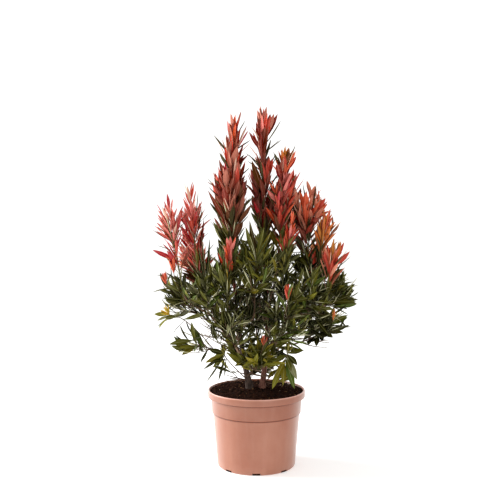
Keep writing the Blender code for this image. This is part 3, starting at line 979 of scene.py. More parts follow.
MASSES = {
    "leader_left": MassPlan(
        Growth.LEADER, None, (-40, -10, 684), 46, 2, "stem_left", 1.0, Dress.LEADER_LEFT, side_reach=0.50,
        spacing=1.05, leaf_scale=1.08,
    ),
    "leader_middle": MassPlan(
        Growth.LEADER, None, (11, 10, 703), 38, 1, "stem_right", 1.0, Dress.LEADER_MIDDLE, side_reach=0.42,
        openness=0.82,
    ),
    "leader_right": MassPlan(
        Growth.LEADER, (41, -18, 400), (56, -20, 624), 38, 2, "stem_right", 0.78, Dress.LEADER_RIGHT,
        side_reach=0.55, leaf_scale=0.80, openness=1.2,
    ),
    "shoot_front_right": MassPlan(
        Growth.TUFT, (44, -50, 330), (68, -62, 500), 45, 4, "stem_right", 0.53, Dress.FLAME,
        side_reach=0.34, spacing=0.8, leaf_scale=0.66, leaf_width=0.9, openness=0.85,
    ),
    "crown_right_back": MassPlan(
        Growth.TUFT, (98, 18, 372), (110, 16, 550), 44, 3, "stem_right", 0.32, Dress.SALMON,
        side_reach=0.88, leaf_scale=0.94, leaf_width=1.2, openness=1.1,
    ),
    "crown_right_front": MassPlan(
        Growth.TUFT, (116, -26, 372), (136, -28, 497), 34, 1, "bough_crown_right_back", 0.68, Dress.AMBER,
        leaf_scale=0.86, openness=0.85,
    ),
    "flank_right": MassPlan(
        Growth.TUFT, (130, -45, 325), (150, -55, 442), 32, 1, "bough_crown_right_back", 0.48, Dress.EMBER,
        leaf_scale=1.06, openness=0.9,
    ),
    "crown_left_inner": MassPlan(
        Growth.TUFT, (-110, 6, 346), (-132, 6, 552), 42, 3, "stem_left", 0.29, Dress.ROSE, side_reach=0.56,
        spacing=1.15, leaf_scale=0.88, leaf_width=0.85, openness=1.2,
    ),
    "crown_left_outer": MassPlan(
        Growth.TUFT, (-142, -22, 346), (-170, -22, 526), 36, 2, "bough_crown_left_inner", 0.62, Dress.ROSE,
        side_reach=0.85, spacing=1.15, leaf_scale=0.88, leaf_width=0.8, openness=1.3,
    ),
    "shoot_front_left": MassPlan(
        Growth.TUFT, (-56, -56, 300), (-48, -88, 456), 50, 4, "stem_left", 0.45, Dress.CORAL, Dress.GREEN,
        side_reach=0.55, spacing=0.85, leaf_scale=0.92, openness=0.85,
    ),
    "crown_back_left": MassPlan(
        Growth.LEADER, (-60, 60, 350), (-52, 70, 600), 42, 1, "stem_left", 0.37, Dress.BRONZE,
    ),
    "crown_back_right": MassPlan(
        Growth.LEADER, (60, 62, 350), (60, 74, 575), 42, 1, "stem_right", 0.43, Dress.BRONZE,
    ),
    "flank_left_high": MassPlan(
        Growth.SPRAY, (-96, 12, 284), (-184, 4, 362), 58, 5, "bough_crown_left_inner", 0.44, reach=0.60,
        lowest=296,
        buds=(Bud((-158, -30, 402), Tone.CRIMSON, 1.1), Bud((-174, -24, 374), Tone.PINK_RED, 0.8)),
    ),
    "flank_left_low": MassPlan(
        Growth.SPRAY, (-70, -14, 228), (-164, -34, 262), 56, 5, "bough_crown_left_inner", 0.22, spacing=5.0,
        reach=0.95, leaf_width=1.1, lowest=205, rise=0.3,
        buds=(Bud((-166, -40, 314), Tone.YELLOW, 0.70, 0.2, 40, Tone.YELLOW),),
    ),
    "heart_left": MassPlan(
        Growth.SPRAY, (-80, -30, 292), (-102, -86, 396), 54, 5, "bough_crown_left_inner", 0.36, lowest=308,
    ),
    "front_high": MassPlan(
        Growth.SPRAY, (-4, -44, 306), (0, -92, 450), 58, 5, "stem_left", 0.61, Dress.OLIVE,
    ),
    "front_left": MassPlan(
        Growth.SPRAY, (-36, -38, 224), (-64, -118, 318), 60, 5, "stem_left", 0.21, Dress.SHADE, spacing=1.1,
        leaf_scale=0.90, leaf_width=0.85, lowest=172, rise=2.2,
    ),
    "front_right": MassPlan(
        Growth.SPRAY, (32, -40, 236), (64, -118, 334), 60, 5, "stem_right", 0.21, leaf_scale=0.92,
        leaf_width=0.9, lowest=176, rise=1.3,
        buds=(Bud((56, -131, 360), Tone.ORANGE_RED, 0.95, other=Tone.RED),),
    ),
    "heart_right": MassPlan(
        Growth.SPRAY, (78, -36, 290), (112, -92, 390), 54, 5, "bough_crown_right_back", 0.34,
    ),
    "flank_right_high": MassPlan(
        Growth.SPRAY, (104, 30, 300), (190, 24, 366), 56, 5, "bough_crown_right_back", 0.58, reach=0.85,
    ),
    "flank_right_low": MassPlan(
        Growth.SPRAY, (76, -4, 240), (168, -20, 284), 56, 5, "bough_crown_right_back", 0.18, Dress.SHADE,
        spacing=0.85, reach=0.85, lowest=230, rise=0.4,
        buds=(Bud((146, -44, 306), Tone.YELLOW, 0.7, other=Tone.ORANGE),),
    ),
    "low_left": MassPlan(
        Growth.SPRAY, None, (-112, -40, 206), 46, 3, "stem_left", 0.08, spacing=4.0, reach=0.95, run=0.6,
        lowest=186, buds=(Bud((-61, -45, 241), Tone.GREEN, 0.75, 0.02, 4, Tone.OLIVE),),
    ),
    "low_front": MassPlan(
        Growth.SPRAY, None, (10, -112, 232), 50, 4, "stem_left", 0.13, Dress.SUNLIT, spacing=0.55,
        leaf_scale=1.1, lowest=212,
        buds=(Bud((13, -126, 271), Tone.ORANGE_RED, 0.60, other=Tone.BROWN_RED),),
    ),
    "low_right": MassPlan(
        Growth.SPRAY, None, (106, -44, 210), 46, 3, "stem_right", 0.05, Dress.SUNLIT, spacing=3.6,
        reach=0.50, run=0.55, buds=(Bud((58, -84, 251), Tone.BRIGHT_GREEN, 0.8, 0.1, other=Tone.OLIVE),),
    ),
    "low_back": MassPlan(Growth.SPRAY, None, (6, 106, 216), 50, 4, "stem_right", 0.11, spacing=1.2),
    "back_left_low": MassPlan(
        Growth.SPRAY, (-56, 44, 232), (-128, 112, 288), 58, 5, "stem_left", 0.19, lowest=286, rise=0.1,
    ),
    "back_right_low": MassPlan(
        Growth.SPRAY, (58, 46, 234), (130, 110, 292), 58, 5, "stem_right", 0.17, lowest=250,
    ),
    "back_low": MassPlan(
        Growth.SPRAY, (0, 48, 250), (2, 126, 320), 58, 5, "stem_right", 0.27,
        buds=(Bud((20, 132, 344), Tone.ORANGE_RED, other=Tone.SALMON),),
    ),
    "back_high": MassPlan(Growth.SPRAY, (4, 56, 330), (2, 104, 452), 56, 5, "stem_right", 0.61, Dress.OLIVE),
    "back_left_high": MassPlan(
        Growth.TUFT, (-92, 66, 316), (-138, 92, 430), 50, 4, "bough_crown_back_left", 0.40, Dress.SALMON,
    ),
    "back_right_high": MassPlan(
        Growth.TUFT, (96, 70, 316), (140, 90, 430), 50, 4, "bough_crown_back_right", 0.40, Dress.EMBER,
    ),
}


LONE_LEAVES = {
    "leader_left": (
        Leaf(0.93, (-54, -20, 672), Tone.PINK_RED, 8.5), Leaf(0.97, (-45, -18, 681), Tone.ORANGE, 9.5),
        Leaf(0.96, (-38, -14, 683), Tone.ORANGE_RED, 9), Leaf(0.95, (-32, -20, 675), Tone.RED, 9.5),
        Leaf(0.90, (-49, -26, 663), Tone.ROSE_BROWN, 10), Leaf(0.90, (-37, -28, 665), Tone.ORANGE_RED, 11),
        Leaf(0.86, (-27, -24, 654), Tone.RED, 10.5), Leaf(0.84, (-56, -22, 645), Tone.DARK_RED, 10.5),
        Leaf(0.80, (-45, -30, 644), Tone.RED, 12), Leaf(0.78, (-33, -30, 639), Tone.ROSE_BROWN, 12),
        Leaf(0.97, (-18, -26, 671), Tone.DARK_OLIVE, 3.5), Leaf(0.76, (-59, -24, 622), Tone.RED, 11),
        Leaf(0.74, (-20, -26, 628), Tone.DARK_RED, 11), Leaf(0.70, (-50, -34, 616), Tone.ROSE_BROWN, 12),
        Leaf(0.66, (-27, -34, 610), Tone.RED, 12), Leaf(0.62, (-70, -26, 599), Tone.BROWN_RED, 11.5),
        Leaf(0.60, (-16, -28, 595), Tone.RED, 11), Leaf(0.58, (-60, -36, 590), Tone.DARK_RED, 12),
        Leaf(0.90, (-9, -26, 632), Tone.DARK_OLIVE, 4.5), Leaf(0.78, (-13, -30, 604), Tone.DARK_RED, 10),
        Leaf(0.70, (-9, -30, 581), Tone.DARK_OLIVE, 4.5), Leaf(0.52, (-13, -36, 545), Tone.BROWN_OLIVE, 6),
        Leaf(0.86, (-83, -20, 644), Tone.DARK_OLIVE, 4), Leaf(0.62, (-98, -18, 555), Tone.BROWN_RED, 3),
        Leaf(0.40, (-93, -20, 540), Tone.BROWN_RED, 10),
    ),
    "leader_middle": (
        Leaf(0.97, (9, 4, 701), Tone.ROSE_BROWN, 8.5), Leaf(0.96, (16, 2, 697), Tone.PINK_RED, 8),
        Leaf(0.92, (24, -4, 687), Tone.RED, 10.5), Leaf(0.90, (13, -8, 685), Tone.PINK_RED, 9),
        Leaf(0.86, (0, -6, 672), Tone.DARK_RED, 8.5), Leaf(0.80, (26, -6, 661), Tone.BROWN_RED, 10),
        Leaf(0.80, (9, -12, 664), Tone.DARK_RED, 11), Leaf(0.84, (-16, -12, 651), Tone.DARK_RED, 8),
        Leaf(0.90, (-12, -12, 662), Tone.PALE_ROSE, 2.4), Leaf(0.60, (-8, -16, 598), Tone.BROWN_OLIVE, 15),
        Leaf(0.42, (-16, -20, 512), Tone.SHADE_GREEN, 4), Leaf(0.40, (-4, -24, 522), Tone.CRIMSON, 10),
    ),
    "leader_right": (
        Leaf(0.97, (56, -30, 623), Tone.AMBER, 8), Leaf(0.96, (49, -32, 618), Tone.ORANGE, 8),
        Leaf(0.95, (64, -30, 619), Tone.BROWN_OLIVE, 7.5), Leaf(0.90, (77, -26, 625), Tone.DARK_OLIVE, 4),
        Leaf(0.84, (32, -26, 613), Tone.DARK_OLIVE, 5),
    ),
    "crown_right_back": (
        Leaf(0.02, (76, -10, 421), Tone.DEEP_GREEN, 11), Leaf(0.05, (87, -14, 431), Tone.GREEN, 10.5),
        Leaf(0.01, (62, -14, 400), Tone.SHADE_GREEN, 11), Leaf(0.04, (112, -10, 425), Tone.DEEP_GREEN, 11),
        Leaf(0.03, (122, -14, 400), Tone.SHADE_GREEN, 11), Leaf(0.08, (99, -12, 437), Tone.DARK_OLIVE, 10),
        Leaf(0.62, (91, 0, 556), Tone.DARK_OLIVE, 4), Leaf(0.70, (119, 0, 554), Tone.DARK_OLIVE, 4),
    ),
    "crown_left_inner": (
        Leaf(0.24, (-96, -10, 486), Tone.MAROON, 9), Leaf(0.12, (-106, -16, 452), Tone.DARK_RED, 8),
        Leaf(0.62, (-108, -6, 540), Tone.DARK_OLIVE, 3), Leaf(0.50, (-100, -6, 508), Tone.DARK_OLIVE, 4),
    ),
    "crown_left_outer": (
        Leaf(0.38, (-200, -30, 424), Tone.CRIMSON, 9), Leaf(0.60, (-199, -26, 462), Tone.BROWN_OLIVE, 3),
    ),
    "shoot_front_left": (
        Leaf(0.62, (-70, -100, 428), Tone.RED, 6), Leaf(0.80, (-55, -112, 443), Tone.ORANGE_RED, 7),
        Leaf(0.74, (-41, -112, 436), Tone.PINK_RED, 7.5), Leaf(0.64, (-51, -116, 423), Tone.ORANGE_RED, 8),
        Leaf(0.52, (-44, -116, 409), Tone.RED, 7.5), Leaf(0.42, (-50, -114, 398), Tone.YELLOW, 6.5),
    ),
    "flank_left_low": (
        Leaf(0.54, (-125, -50, 307), Tone.DEEP_GREEN, 11.5, True),
        Leaf(0.40, (-92, -50, 303), Tone.GREEN, 11, True), Leaf(0.66, (-143, -55, 304), Tone.GREEN, 13, True),
        Leaf(0.84, (-171, -40, 291), Tone.PALE_GREY_GREEN, 5, True),
        Leaf(0.52, (-150, -60, 238), Tone.BRIGHT_GREEN, 11), Leaf(0.66, (-143, -40, 222), Tone.OLIVE, 10.5),
        Leaf(0.92, (-156, -36, 251), Tone.GREY_GREEN, 8), Leaf(0.34, (-107, -30, 206), Tone.SHADE_GREEN, 5.5),
    ),
    "heart_left": (
        Leaf(0.96, (-98, -82, 458), Tone.DARK_OLIVE, 5), Leaf(0.90, (-82, -78, 452), Tone.SHADE_GREEN, 7),
        Leaf(0.98, (-106, -82, 440), Tone.SHADE_GREEN, 6),
    ),
    "front_high": (
        Leaf(0.92, (-19, -80, 473), Tone.GREEN, 10.5), Leaf(0.95, (-11, -80, 484), Tone.DARK_OLIVE, 10),
        Leaf(0.80, (-30, -84, 454), Tone.DEEP_GREEN, 10.5), Leaf(0.95, (17, -86, 471), Tone.GREEN, 11),
        Leaf(0.88, (30, -84, 462), Tone.OLIVE, 11),
    ),
    "front_left": (
        Leaf(0.04, (-63, -94, 266), Tone.BRIGHT_GREEN, 12), Leaf(0.02, (-67, -90, 243), Tone.YELLOW_GREEN, 7),
        Leaf(0.03, (-56, -96, 233), Tone.BRIGHT_GREEN, 11), Leaf(0.00, (-21, -70, 203), Tone.YELLOW_GREEN, 8),
    ),
    "front_right": (
        Leaf(0.08, (90, -60, 235), Tone.GREEN, 10), Leaf(0.04, (77, -60, 211), Tone.SHADE_GREEN, 7),
    ),
    "flank_right_low": (
        Leaf(0.66, (115, -36, 239), Tone.DEEP_GREEN, 10), Leaf(0.46, (99, -36, 241), Tone.DEEP_GREEN, 9.5),
        Leaf(0.78, (126, -36, 249), Tone.SHADE_GREEN, 9.5), Leaf(0.56, (107, -30, 246), Tone.SHADE_GREEN, 9),
        Leaf(0.86, (147, -34, 256), Tone.GREEN, 10), Leaf(0.90, (168, -34, 266), Tone.GREEN, 10),
    ),
    "low_left": (
        Leaf(0.96, (-90, -40, 234), Tone.DEEP_GREEN, 11, True),
        Leaf(0.93, (-97, -40, 208), Tone.OLIVE, 9.5, True),
        Leaf(0.90, (-100, -40, 195), Tone.SHADE_GREEN, 6.5, True),
        Leaf(0.86, (-82, -45, 200), Tone.GREEN, 8.5, True),
        Leaf(0.82, (-94, -36, 169), Tone.SHADE_GREEN, 4, True),
        Leaf(0.76, (-71, -36, 173), Tone.SHADE_GREEN, 5.5, True),
        Leaf(0.66, (-60, -40, 182), Tone.SHADE_GREEN, 3.5, True),
        Leaf(0.92, (-80, -45, 222), Tone.BRIGHT_GREEN, 9, True),
    ),
    "low_front": (
        Leaf(0.50, (-60, -80, 238), Tone.BRIGHT_GREEN, 11), Leaf(0.44, (-63, -80, 255), Tone.GREEN, 10),
        Leaf(0.46, (64, -80, 247), Tone.DEEP_GREEN, 11), Leaf(0.56, (-30, -95, 209), Tone.YELLOW_GREEN, 8),
    ),
    "low_right": (
        Leaf(0.90, (89, -80, 240), Tone.GREEN, 11.5, True),
        Leaf(0.86, (76, -86, 214), Tone.DEEP_GREEN, 11, True),
        Leaf(0.76, (76, -82, 186), Tone.GREY_GREEN, 12.5, True),
        Leaf(0.62, (72, -80, 168), Tone.FRESH_GREEN, 13, True),
        Leaf(0.56, (51, -78, 173), Tone.OLIVE, 10, True),
        Leaf(0.42, (31, -70, 164), Tone.BRIGHT_GREEN, 11.5, True),
        Leaf(0.30, (21, -62, 183), Tone.OLIVE, 9, True), Leaf(0.66, (38, -82, 187), Tone.OLIVE, 12, True),
        Leaf(0.80, (34, -90, 221), Tone.GREEN, 11, True), Leaf(0.70, (65, -88, 203), Tone.GREEN, 9, True),
    ),
}


@dataclass
class Skeleton:
    """The middle lines of the stems and boughs, by the rule of the solids."""

    flare: float = 0.40
    flare_fade_height: float = 0.015
    bough_share: float = 0.60
    bough_least_root_radius: float = 0.0020
    bough_tip_radius: float = 0.0016
    bough_handle: float = 0.36
    bough_rise: float = 0.45
    limbs: dict[str, Limb] = field(default_factory=dict)
    controls: dict[str, list[Vector]] = field(default_factory=dict)

    def plan(self) -> None:
        """Works out every stem, then every bough once its parent is there."""
        for name, stem in STEMS.items():
            foot = metres((*stem.foot, 0)) + Vector((0, 0, SOIL_LEVEL + GAP))
            tip = metres(stem.tip)
            middle = foot.lerp(tip, 0.5) + metres((*stem.bow, 0)) * 2
            radii = taper(stem.foot_radius / MILLIMETRES, stem.tip_radius / MILLIMETRES, STEM_RINGS)
            self.lay(name, [foot, middle, tip], radii)
        waiting = {name: mass for name, mass in MASSES.items() if mass.foot}
        while waiting:
            for name, mass in list(waiting.items()):
                if mass.parent in self.limbs:
                    self.lay("bough_" + name, *self.bough(mass))
                    del waiting[name]

    def lay(self, name: str, controls: list[Vector], radii: list[float]) -> None:
        """Keeps a limb along these control points."""
        self.controls[name] = controls
        self.limbs[name] = curved_limb(controls, radii)

    def mass_controls(self, mass: MassPlan) -> list[Vector]:
        """Lays out a mass's middle line, from its foot to its furthest tip.

        Args:
            mass: the mass.

        Returns:
            The control points.
        """
        fork, rising, _ = self.limbs[mass.parent].at(mass.parent_share)
        foot, tip = metres(mass.foot) if mass.foot else fork, metres(mass.tip)
        length = (tip - foot).length
        if mass.parent_share == 1:
            return [foot, foot + rising * length / 2, tip]
        sag = Vector((0, 0, HABITS[mass.growth].sag * length))
        return [foot, foot.lerp(tip, 0.5) - sag, tip]

    def bough(self, mass: MassPlan) -> tuple[list[Vector], list[float]]:
        """Lays out a mass's bough, from its parent's middle line to the mass's foot.

        Args:
            mass: the mass.

        Returns:
            The control points and the radii.
        """
        start, rising, parent_radius = self.limbs[mass.parent].at(mass.parent_share)
        foot, middle, _ = self.mass_controls(mass)
        span = foot - start
        handle = self.bough_handle * span.length
        leaving = (span.normalized() + rising * self.bough_rise).normalized()
        arrival = (middle - foot).normalized()
        root_radius = max(self.bough_share * parent_radius, self.bough_least_root_radius)
        controls = [start, start + leaving * handle, foot - arrival * handle, foot]
        return controls, taper(root_radius, self.bough_tip_radius, BOUGH_RINGS)

    def finer(self, name: str, rings: int) -> Limb:
        """Lays a limb again with more rings, and with its root flare if it is a stem.

        Args:
            name: the limb's name.
            rings: how many rings it has.

        Returns:
            The limb.
        """
        radii = self.limbs[name].radii
        limb = curved_limb(self.controls[name], taper(radii[0], radii[-1], rings))
        if name not in STEMS:
            return limb
        foot = limb.path[0].z
        flared = [
            radius * (1 + self.flare * exp((foot - point.z) / self.flare_fade_height))
            for point, radius in zip(limb.path, limb.radii)
        ]
        return replace(limb, radii=flared)


# Wood


@dataclass
class Wood:
    """The bark of the stems and boughs, with furrows, leaf scars and a foot that runs into the soil."""

    skeleton: Skeleton
    stem_sides: int = 30
    stem_rings: int = 100
    bough_sides: int = 12
    bough_rings: int = 26
    slimness: float = 0.88
    furrow_depth: float = 0.10
    furrow_pitch: float = 0.0026
    furrow_length: float = 0.016
    lump_height: float = 0.06
    lump_scale: float = 1.3
    scar_height: float = 0.06
    scar_spacing: float = 0.011
    scar_sharpness: int = 8
    sunk: float = 0.004

    def relief(self, point: Vector, outward: Vector, radius: float) -> float:
        """How far the bark stands out, with long furrows, wider lumps and a ring at each leaf scar.

        Args:
            point: the point on the middle line.
            outward: the way out from it.
            radius: the limb's radius there.

        Returns:
            How far, in metres.
        """
        around = outward * radius / self.furrow_pitch
        furrows = noise.noise(Vector((around.x, around.y, point.z / self.furrow_length)))
        along = point.z / self.scar_spacing
        lumps = noise.noise(Vector((outward.x, outward.y, along)) * self.lump_scale)
        ring = max(0.0, cos(2 * pi * along)) ** self.scar_sharpness
        scar = ring * max(0.0, sin(GOLDEN_TURN * round(along) + outward.x * 2))
        rough = self.furrow_depth * furrows + self.lump_height * lumps + self.scar_height * scar
        return radius * (self.slimness * (1 + rough) - 1)

    def bark_of(self, names: Sequence[str], bark: Bark, piece_name: str) -> Object:
        """The bark of these limbs in one mesh, which replaces their solids.

        Args:
            names: the limbs' names, which are their nodes' names too.
            bark: their finish.
            piece_name: the name of the mesh.

        Returns:
            The piece.
        """
        heap = MeshHeap()
        for name in names:
            is_stem = name in STEMS
            limb = self.skeleton.finer(name, self.stem_rings if is_stem else self.bough_rings)
            if is_stem:
                limb.path[0] = limb.path[0] - Vector((0, 0, self.sunk))
            points, faces = limb.tube(self.stem_sides if is_stem else self.bough_sides, self.relief)
            heap.add(points, faces, [0] * len(faces))
        piece = heap.make(piece_name, [bark.make()], radians(60))
        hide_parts(*names)
        return piece

    def build(self) -> list[Object]:
        """Builds the bark of each stem, and of all the boughs together.

        Returns:
            The pieces.
        """
        pieces = [self.bark_of([name], stem.bark, name + "_bark") for name, stem in STEMS.items()]
        boughs = [name for name in self.skeleton.limbs if name not in STEMS]
        return [*pieces, self.bark_of(boughs, YOUNG_BARK, "boughs_bark")]


# Foliage


def distances(points: np.ndarray, starts: np.ndarray, ends: np.ndarray) -> tuple[np.ndarray, np.ndarray]:
    """How far points are from straight stretches.

    Args:
        points: the points, one row each.
        starts: the stretches' first ends, one row each.
        ends: their last ends.

    Returns:
        The distances and the shares of the stretch where it is nearest, both as points by stretches.
    """
    run = ends - starts
    offset = points[:, None, :] - starts[None, :, :]
    share = np.clip((offset * run).sum(2) / (run * run).sum(1), 0, 1)
    nearest = starts + share[:, :, None] * run
    return np.linalg.norm(points[:, None, :] - nearest, axis=2), share


@dataclass
class Spaces:
    """Who may grow where: each mass keeps near its own middle line, within its reach and clear of the limbs.

    The masses' outer leaves mingle: margin is how far one may reach into its neighbour's space, as a share of
    its own radius. All of them stay in the box of the solids, but for a small overhang.
    """

    skeleton: Skeleton
    lowest: Vector
    highest: Vector
    overhang: float = 0.002
    margin: float = 0.42
    limb_clearance: float = 0.0008

    def __post_init__(self) -> None:
        """Lays out the middle lines of the masses and limbs as arrays."""
        self.names = list(MASSES)
        self.radii = np.array([mass.radius for mass in MASSES.values()]) / MILLIMETRES
        lines = [
            [curve_at(self.skeleton.mass_controls(mass), share)[0] for share in taper(0.0, 1.0, LINE_POINTS)]
            for mass in MASSES.values()
        ]
        self.starts = np.array([point for line in lines for point in line[:-1]])
        self.ends = np.array([point for line in lines for point in line[1:]])
        limbs = self.skeleton.limbs.values()
        self.limb_starts = np.array([point for limb in limbs for point in limb.path[:-1]])
        self.limb_ends = np.array([point for limb in limbs for point in limb.path[1:]])
        self.limb_first = np.array([radius for limb in limbs for radius in limb.radii[:-1]])
        self.limb_last = np.array([radius for limb in limbs for radius in limb.radii[1:]])

    def hold(self, name: str, points: np.ndarray, reach: float = 1.0) -> bool:
        """Whether the points lie in the space of a mass.

        Args:
            name: the mass.
            points: the points, one row each.
            reach: how far they may lie from its middle line, as a share of its radius.

        Returns:
            Whether all of them do, and are clear of the limbs.
        """
        low, high = np.array(self.lowest) - self.overhang, np.array(self.highest) + self.overhang
        if (points < low).any() or (points > high).any():
            return False
        far, _ = distances(points, self.starts, self.ends)
        each = far.reshape(len(points), len(self.names), LINE_POINTS - 1).min(2) / self.radii
        own = self.names.index(name)
        mine = each[:, own].copy()
        each[:, own] = np.inf
        if (mine > reach).any() or (mine > each.min(1) + self.margin).any():
            return False
        return self.clear_of_limbs(points)

    def clear_of_limbs(self, points: np.ndarray) -> bool:
        """Whether the points lie outside every stem and bough.

        Args:
            points: the points, one row each.

        Returns:
            Whether all of them do.
        """
        far, share = distances(points, self.limb_starts, self.limb_ends)
        thick = self.limb_first * (1 - share) + self.limb_last * share
        return bool((far > thick + self.limb_clearance).all())


@dataclass
class Midribs:
    """The midribs of all the leaves so far, so that no leaf grows through another."""

    gap: float = 0.0022
    near: float = 0.05
    most: int = 60000
    count: int = 0

    def __post_init__(self) -> None:
        """Sets room aside for all their points."""
        self.points = np.empty((self.most, 3))

    def leave_free(self, midrib: np.ndarray) -> bool:
        """Whether a new midrib passes every other with the gap between them.

        Args:
            midrib: the new midrib's points.

        Returns:
            Whether it does.
        """
        taken = self.points[: self.count]
        close = taken[(np.abs(taken - midrib.mean(0)) < self.near).all(1)]
        return bool((np.linalg.norm(close[:, None] - midrib[None], axis=2) >= self.gap).all())

    def add(self, midrib: np.ndarray) -> None:
        """Keeps a leaf's midrib."""
        self.points[self.count : self.count + len(midrib)] = midrib
        self.count += len(midrib)


@dataclass(frozen=True)
class LeafShape:
    """A narrow, pointed leaf: folded along its midrib, bent along its length, with a real thickness.

    Each row has six points: the left edge, the midrib's two edges on the upper side, the right edge, and the
    midrib's two edges on the lower side.
    """

    rows: tuple[float, ...] = (0.0, 0.09, 0.26, 0.46, 0.66, 0.85)
    widest: float = 0.54
    stalk_width: float = 0.0010
    rib_width: float = 0.0009
    thickness: float = 0.0005
    fold: float = 0.30
    row_points: int = 6

    @cached_property
    def shares(self) -> np.ndarray:
        """The place of each row along the leaf, and of its tip."""
        return np.array([*self.rows, 1.0])

    @cached_property
    def outline(self) -> np.ndarray:
        """The width at each of these places, as a share of the leaf's."""
        return np.sin(pi * self.shares ** (log(0.5) / log(self.widest)))

    def midrib(self, points: np.ndarray) -> np.ndarray:
        """The points along a leaf's midrib, but for those at its foot, where leaves sit close."""
        return points[2 * self.row_points + 1 :: self.row_points]

    def blade(self, points: np.ndarray) -> np.ndarray:
        """A leaf's points beyond its foot."""
        return points[2 * self.row_points :]

    def points(
        self, root: Vector, heading: Vector, across: Vector, length: float, width: float, bend: float,
        twist: float,
    ) -> np.ndarray:
        """Lays out a leaf's points, row by row and one at the tip.

        Args:
            root: where it starts.
            heading: the way it sets off.
            across: from its left edge to its right edge.
            length: how long it is along its midrib.
            width: how wide it is at its widest.
            bend: the angle that it turns towards its upper side from root to tip, which isn't 0.
            twist: the angle that its tip is turned about its midrib.

        Returns:
            The points, one row each.
        """
        forward, right = np.array(heading), np.array(across)
        up = np.cross(right, forward)
        shares = self.shares[:, None]
        turn, roll = bend * shares, twist * shares
        middle = np.array(root) + length * (forward * np.sin(turn) + up * (1 - np.cos(turn))) / bend
        facing = up * np.cos(turn) - forward * np.sin(turn)
        right, facing = (
            right * np.cos(roll) + facing * np.sin(roll),
            facing * np.cos(roll) - right * np.sin(roll),
        )
        half = np.maximum(self.outline[:, None] * width, self.stalk_width * (1 - shares)) / 2
        rib = np.minimum(half, self.rib_width) / 2
        lift, under = facing * self.fold * half, facing * self.thickness
        rows = [
            middle - right * half + lift,
            middle - right * rib,
            middle + right * rib,
            middle + right * half + lift,
            middle + right * rib - under,
            middle - right * rib - under,
        ]
        return np.concatenate([np.stack(rows, 1)[:-1].reshape(-1, 3), middle[-1:]])

    def faces(self) -> tuple[list[Face], list[int]]:
        """Lays out the faces that any leaf has.

        Returns:
            The faces, and for each 0 on the blade, 1 on the underside and 2 on the midrib.
        """
        kinds_around = (0, 2, 0, 1, 2, 1)
        around = [(side, (side + 1) % self.row_points, kind) for side, kind in enumerate(kinds_around)]
        last = self.row_points * (len(self.rows) - 1)
        tip = last + self.row_points
        faces = [
            (row + left, row + right, row + self.row_points + right, row + self.row_points + left)
            for row in range(0, last, self.row_points)
            for left, right, _ in around
        ]
        faces += [(last + left, last + right, tip) for left, right, _ in around]
        foot = tuple(reversed(range(self.row_points)))
        return [*faces, foot], [*kinds_around * len(self.rows), 1]


class LeafKind(Enum):
    """A plain leaf, an old thin one that stands away, or a pale one that lies close, edge on, whose paleness
    is partly a painted highlight.

    Each has its own colours, among green leaves and among red ones, or those of its shoot.
    """

    PLAIN = ()
    STRAY = (Tone.SHADE_GREEN, Tone.DARK_OLIVE)
    STREAK = (Tone.PALE_GREY_GREEN, Tone.PALE_ROSE)

    def tone(self, plain: Tone) -> Tone:
        """The colour of such a leaf where a plain one would have this colour."""
        return self.value[plain.is_red()] if self.value else plain


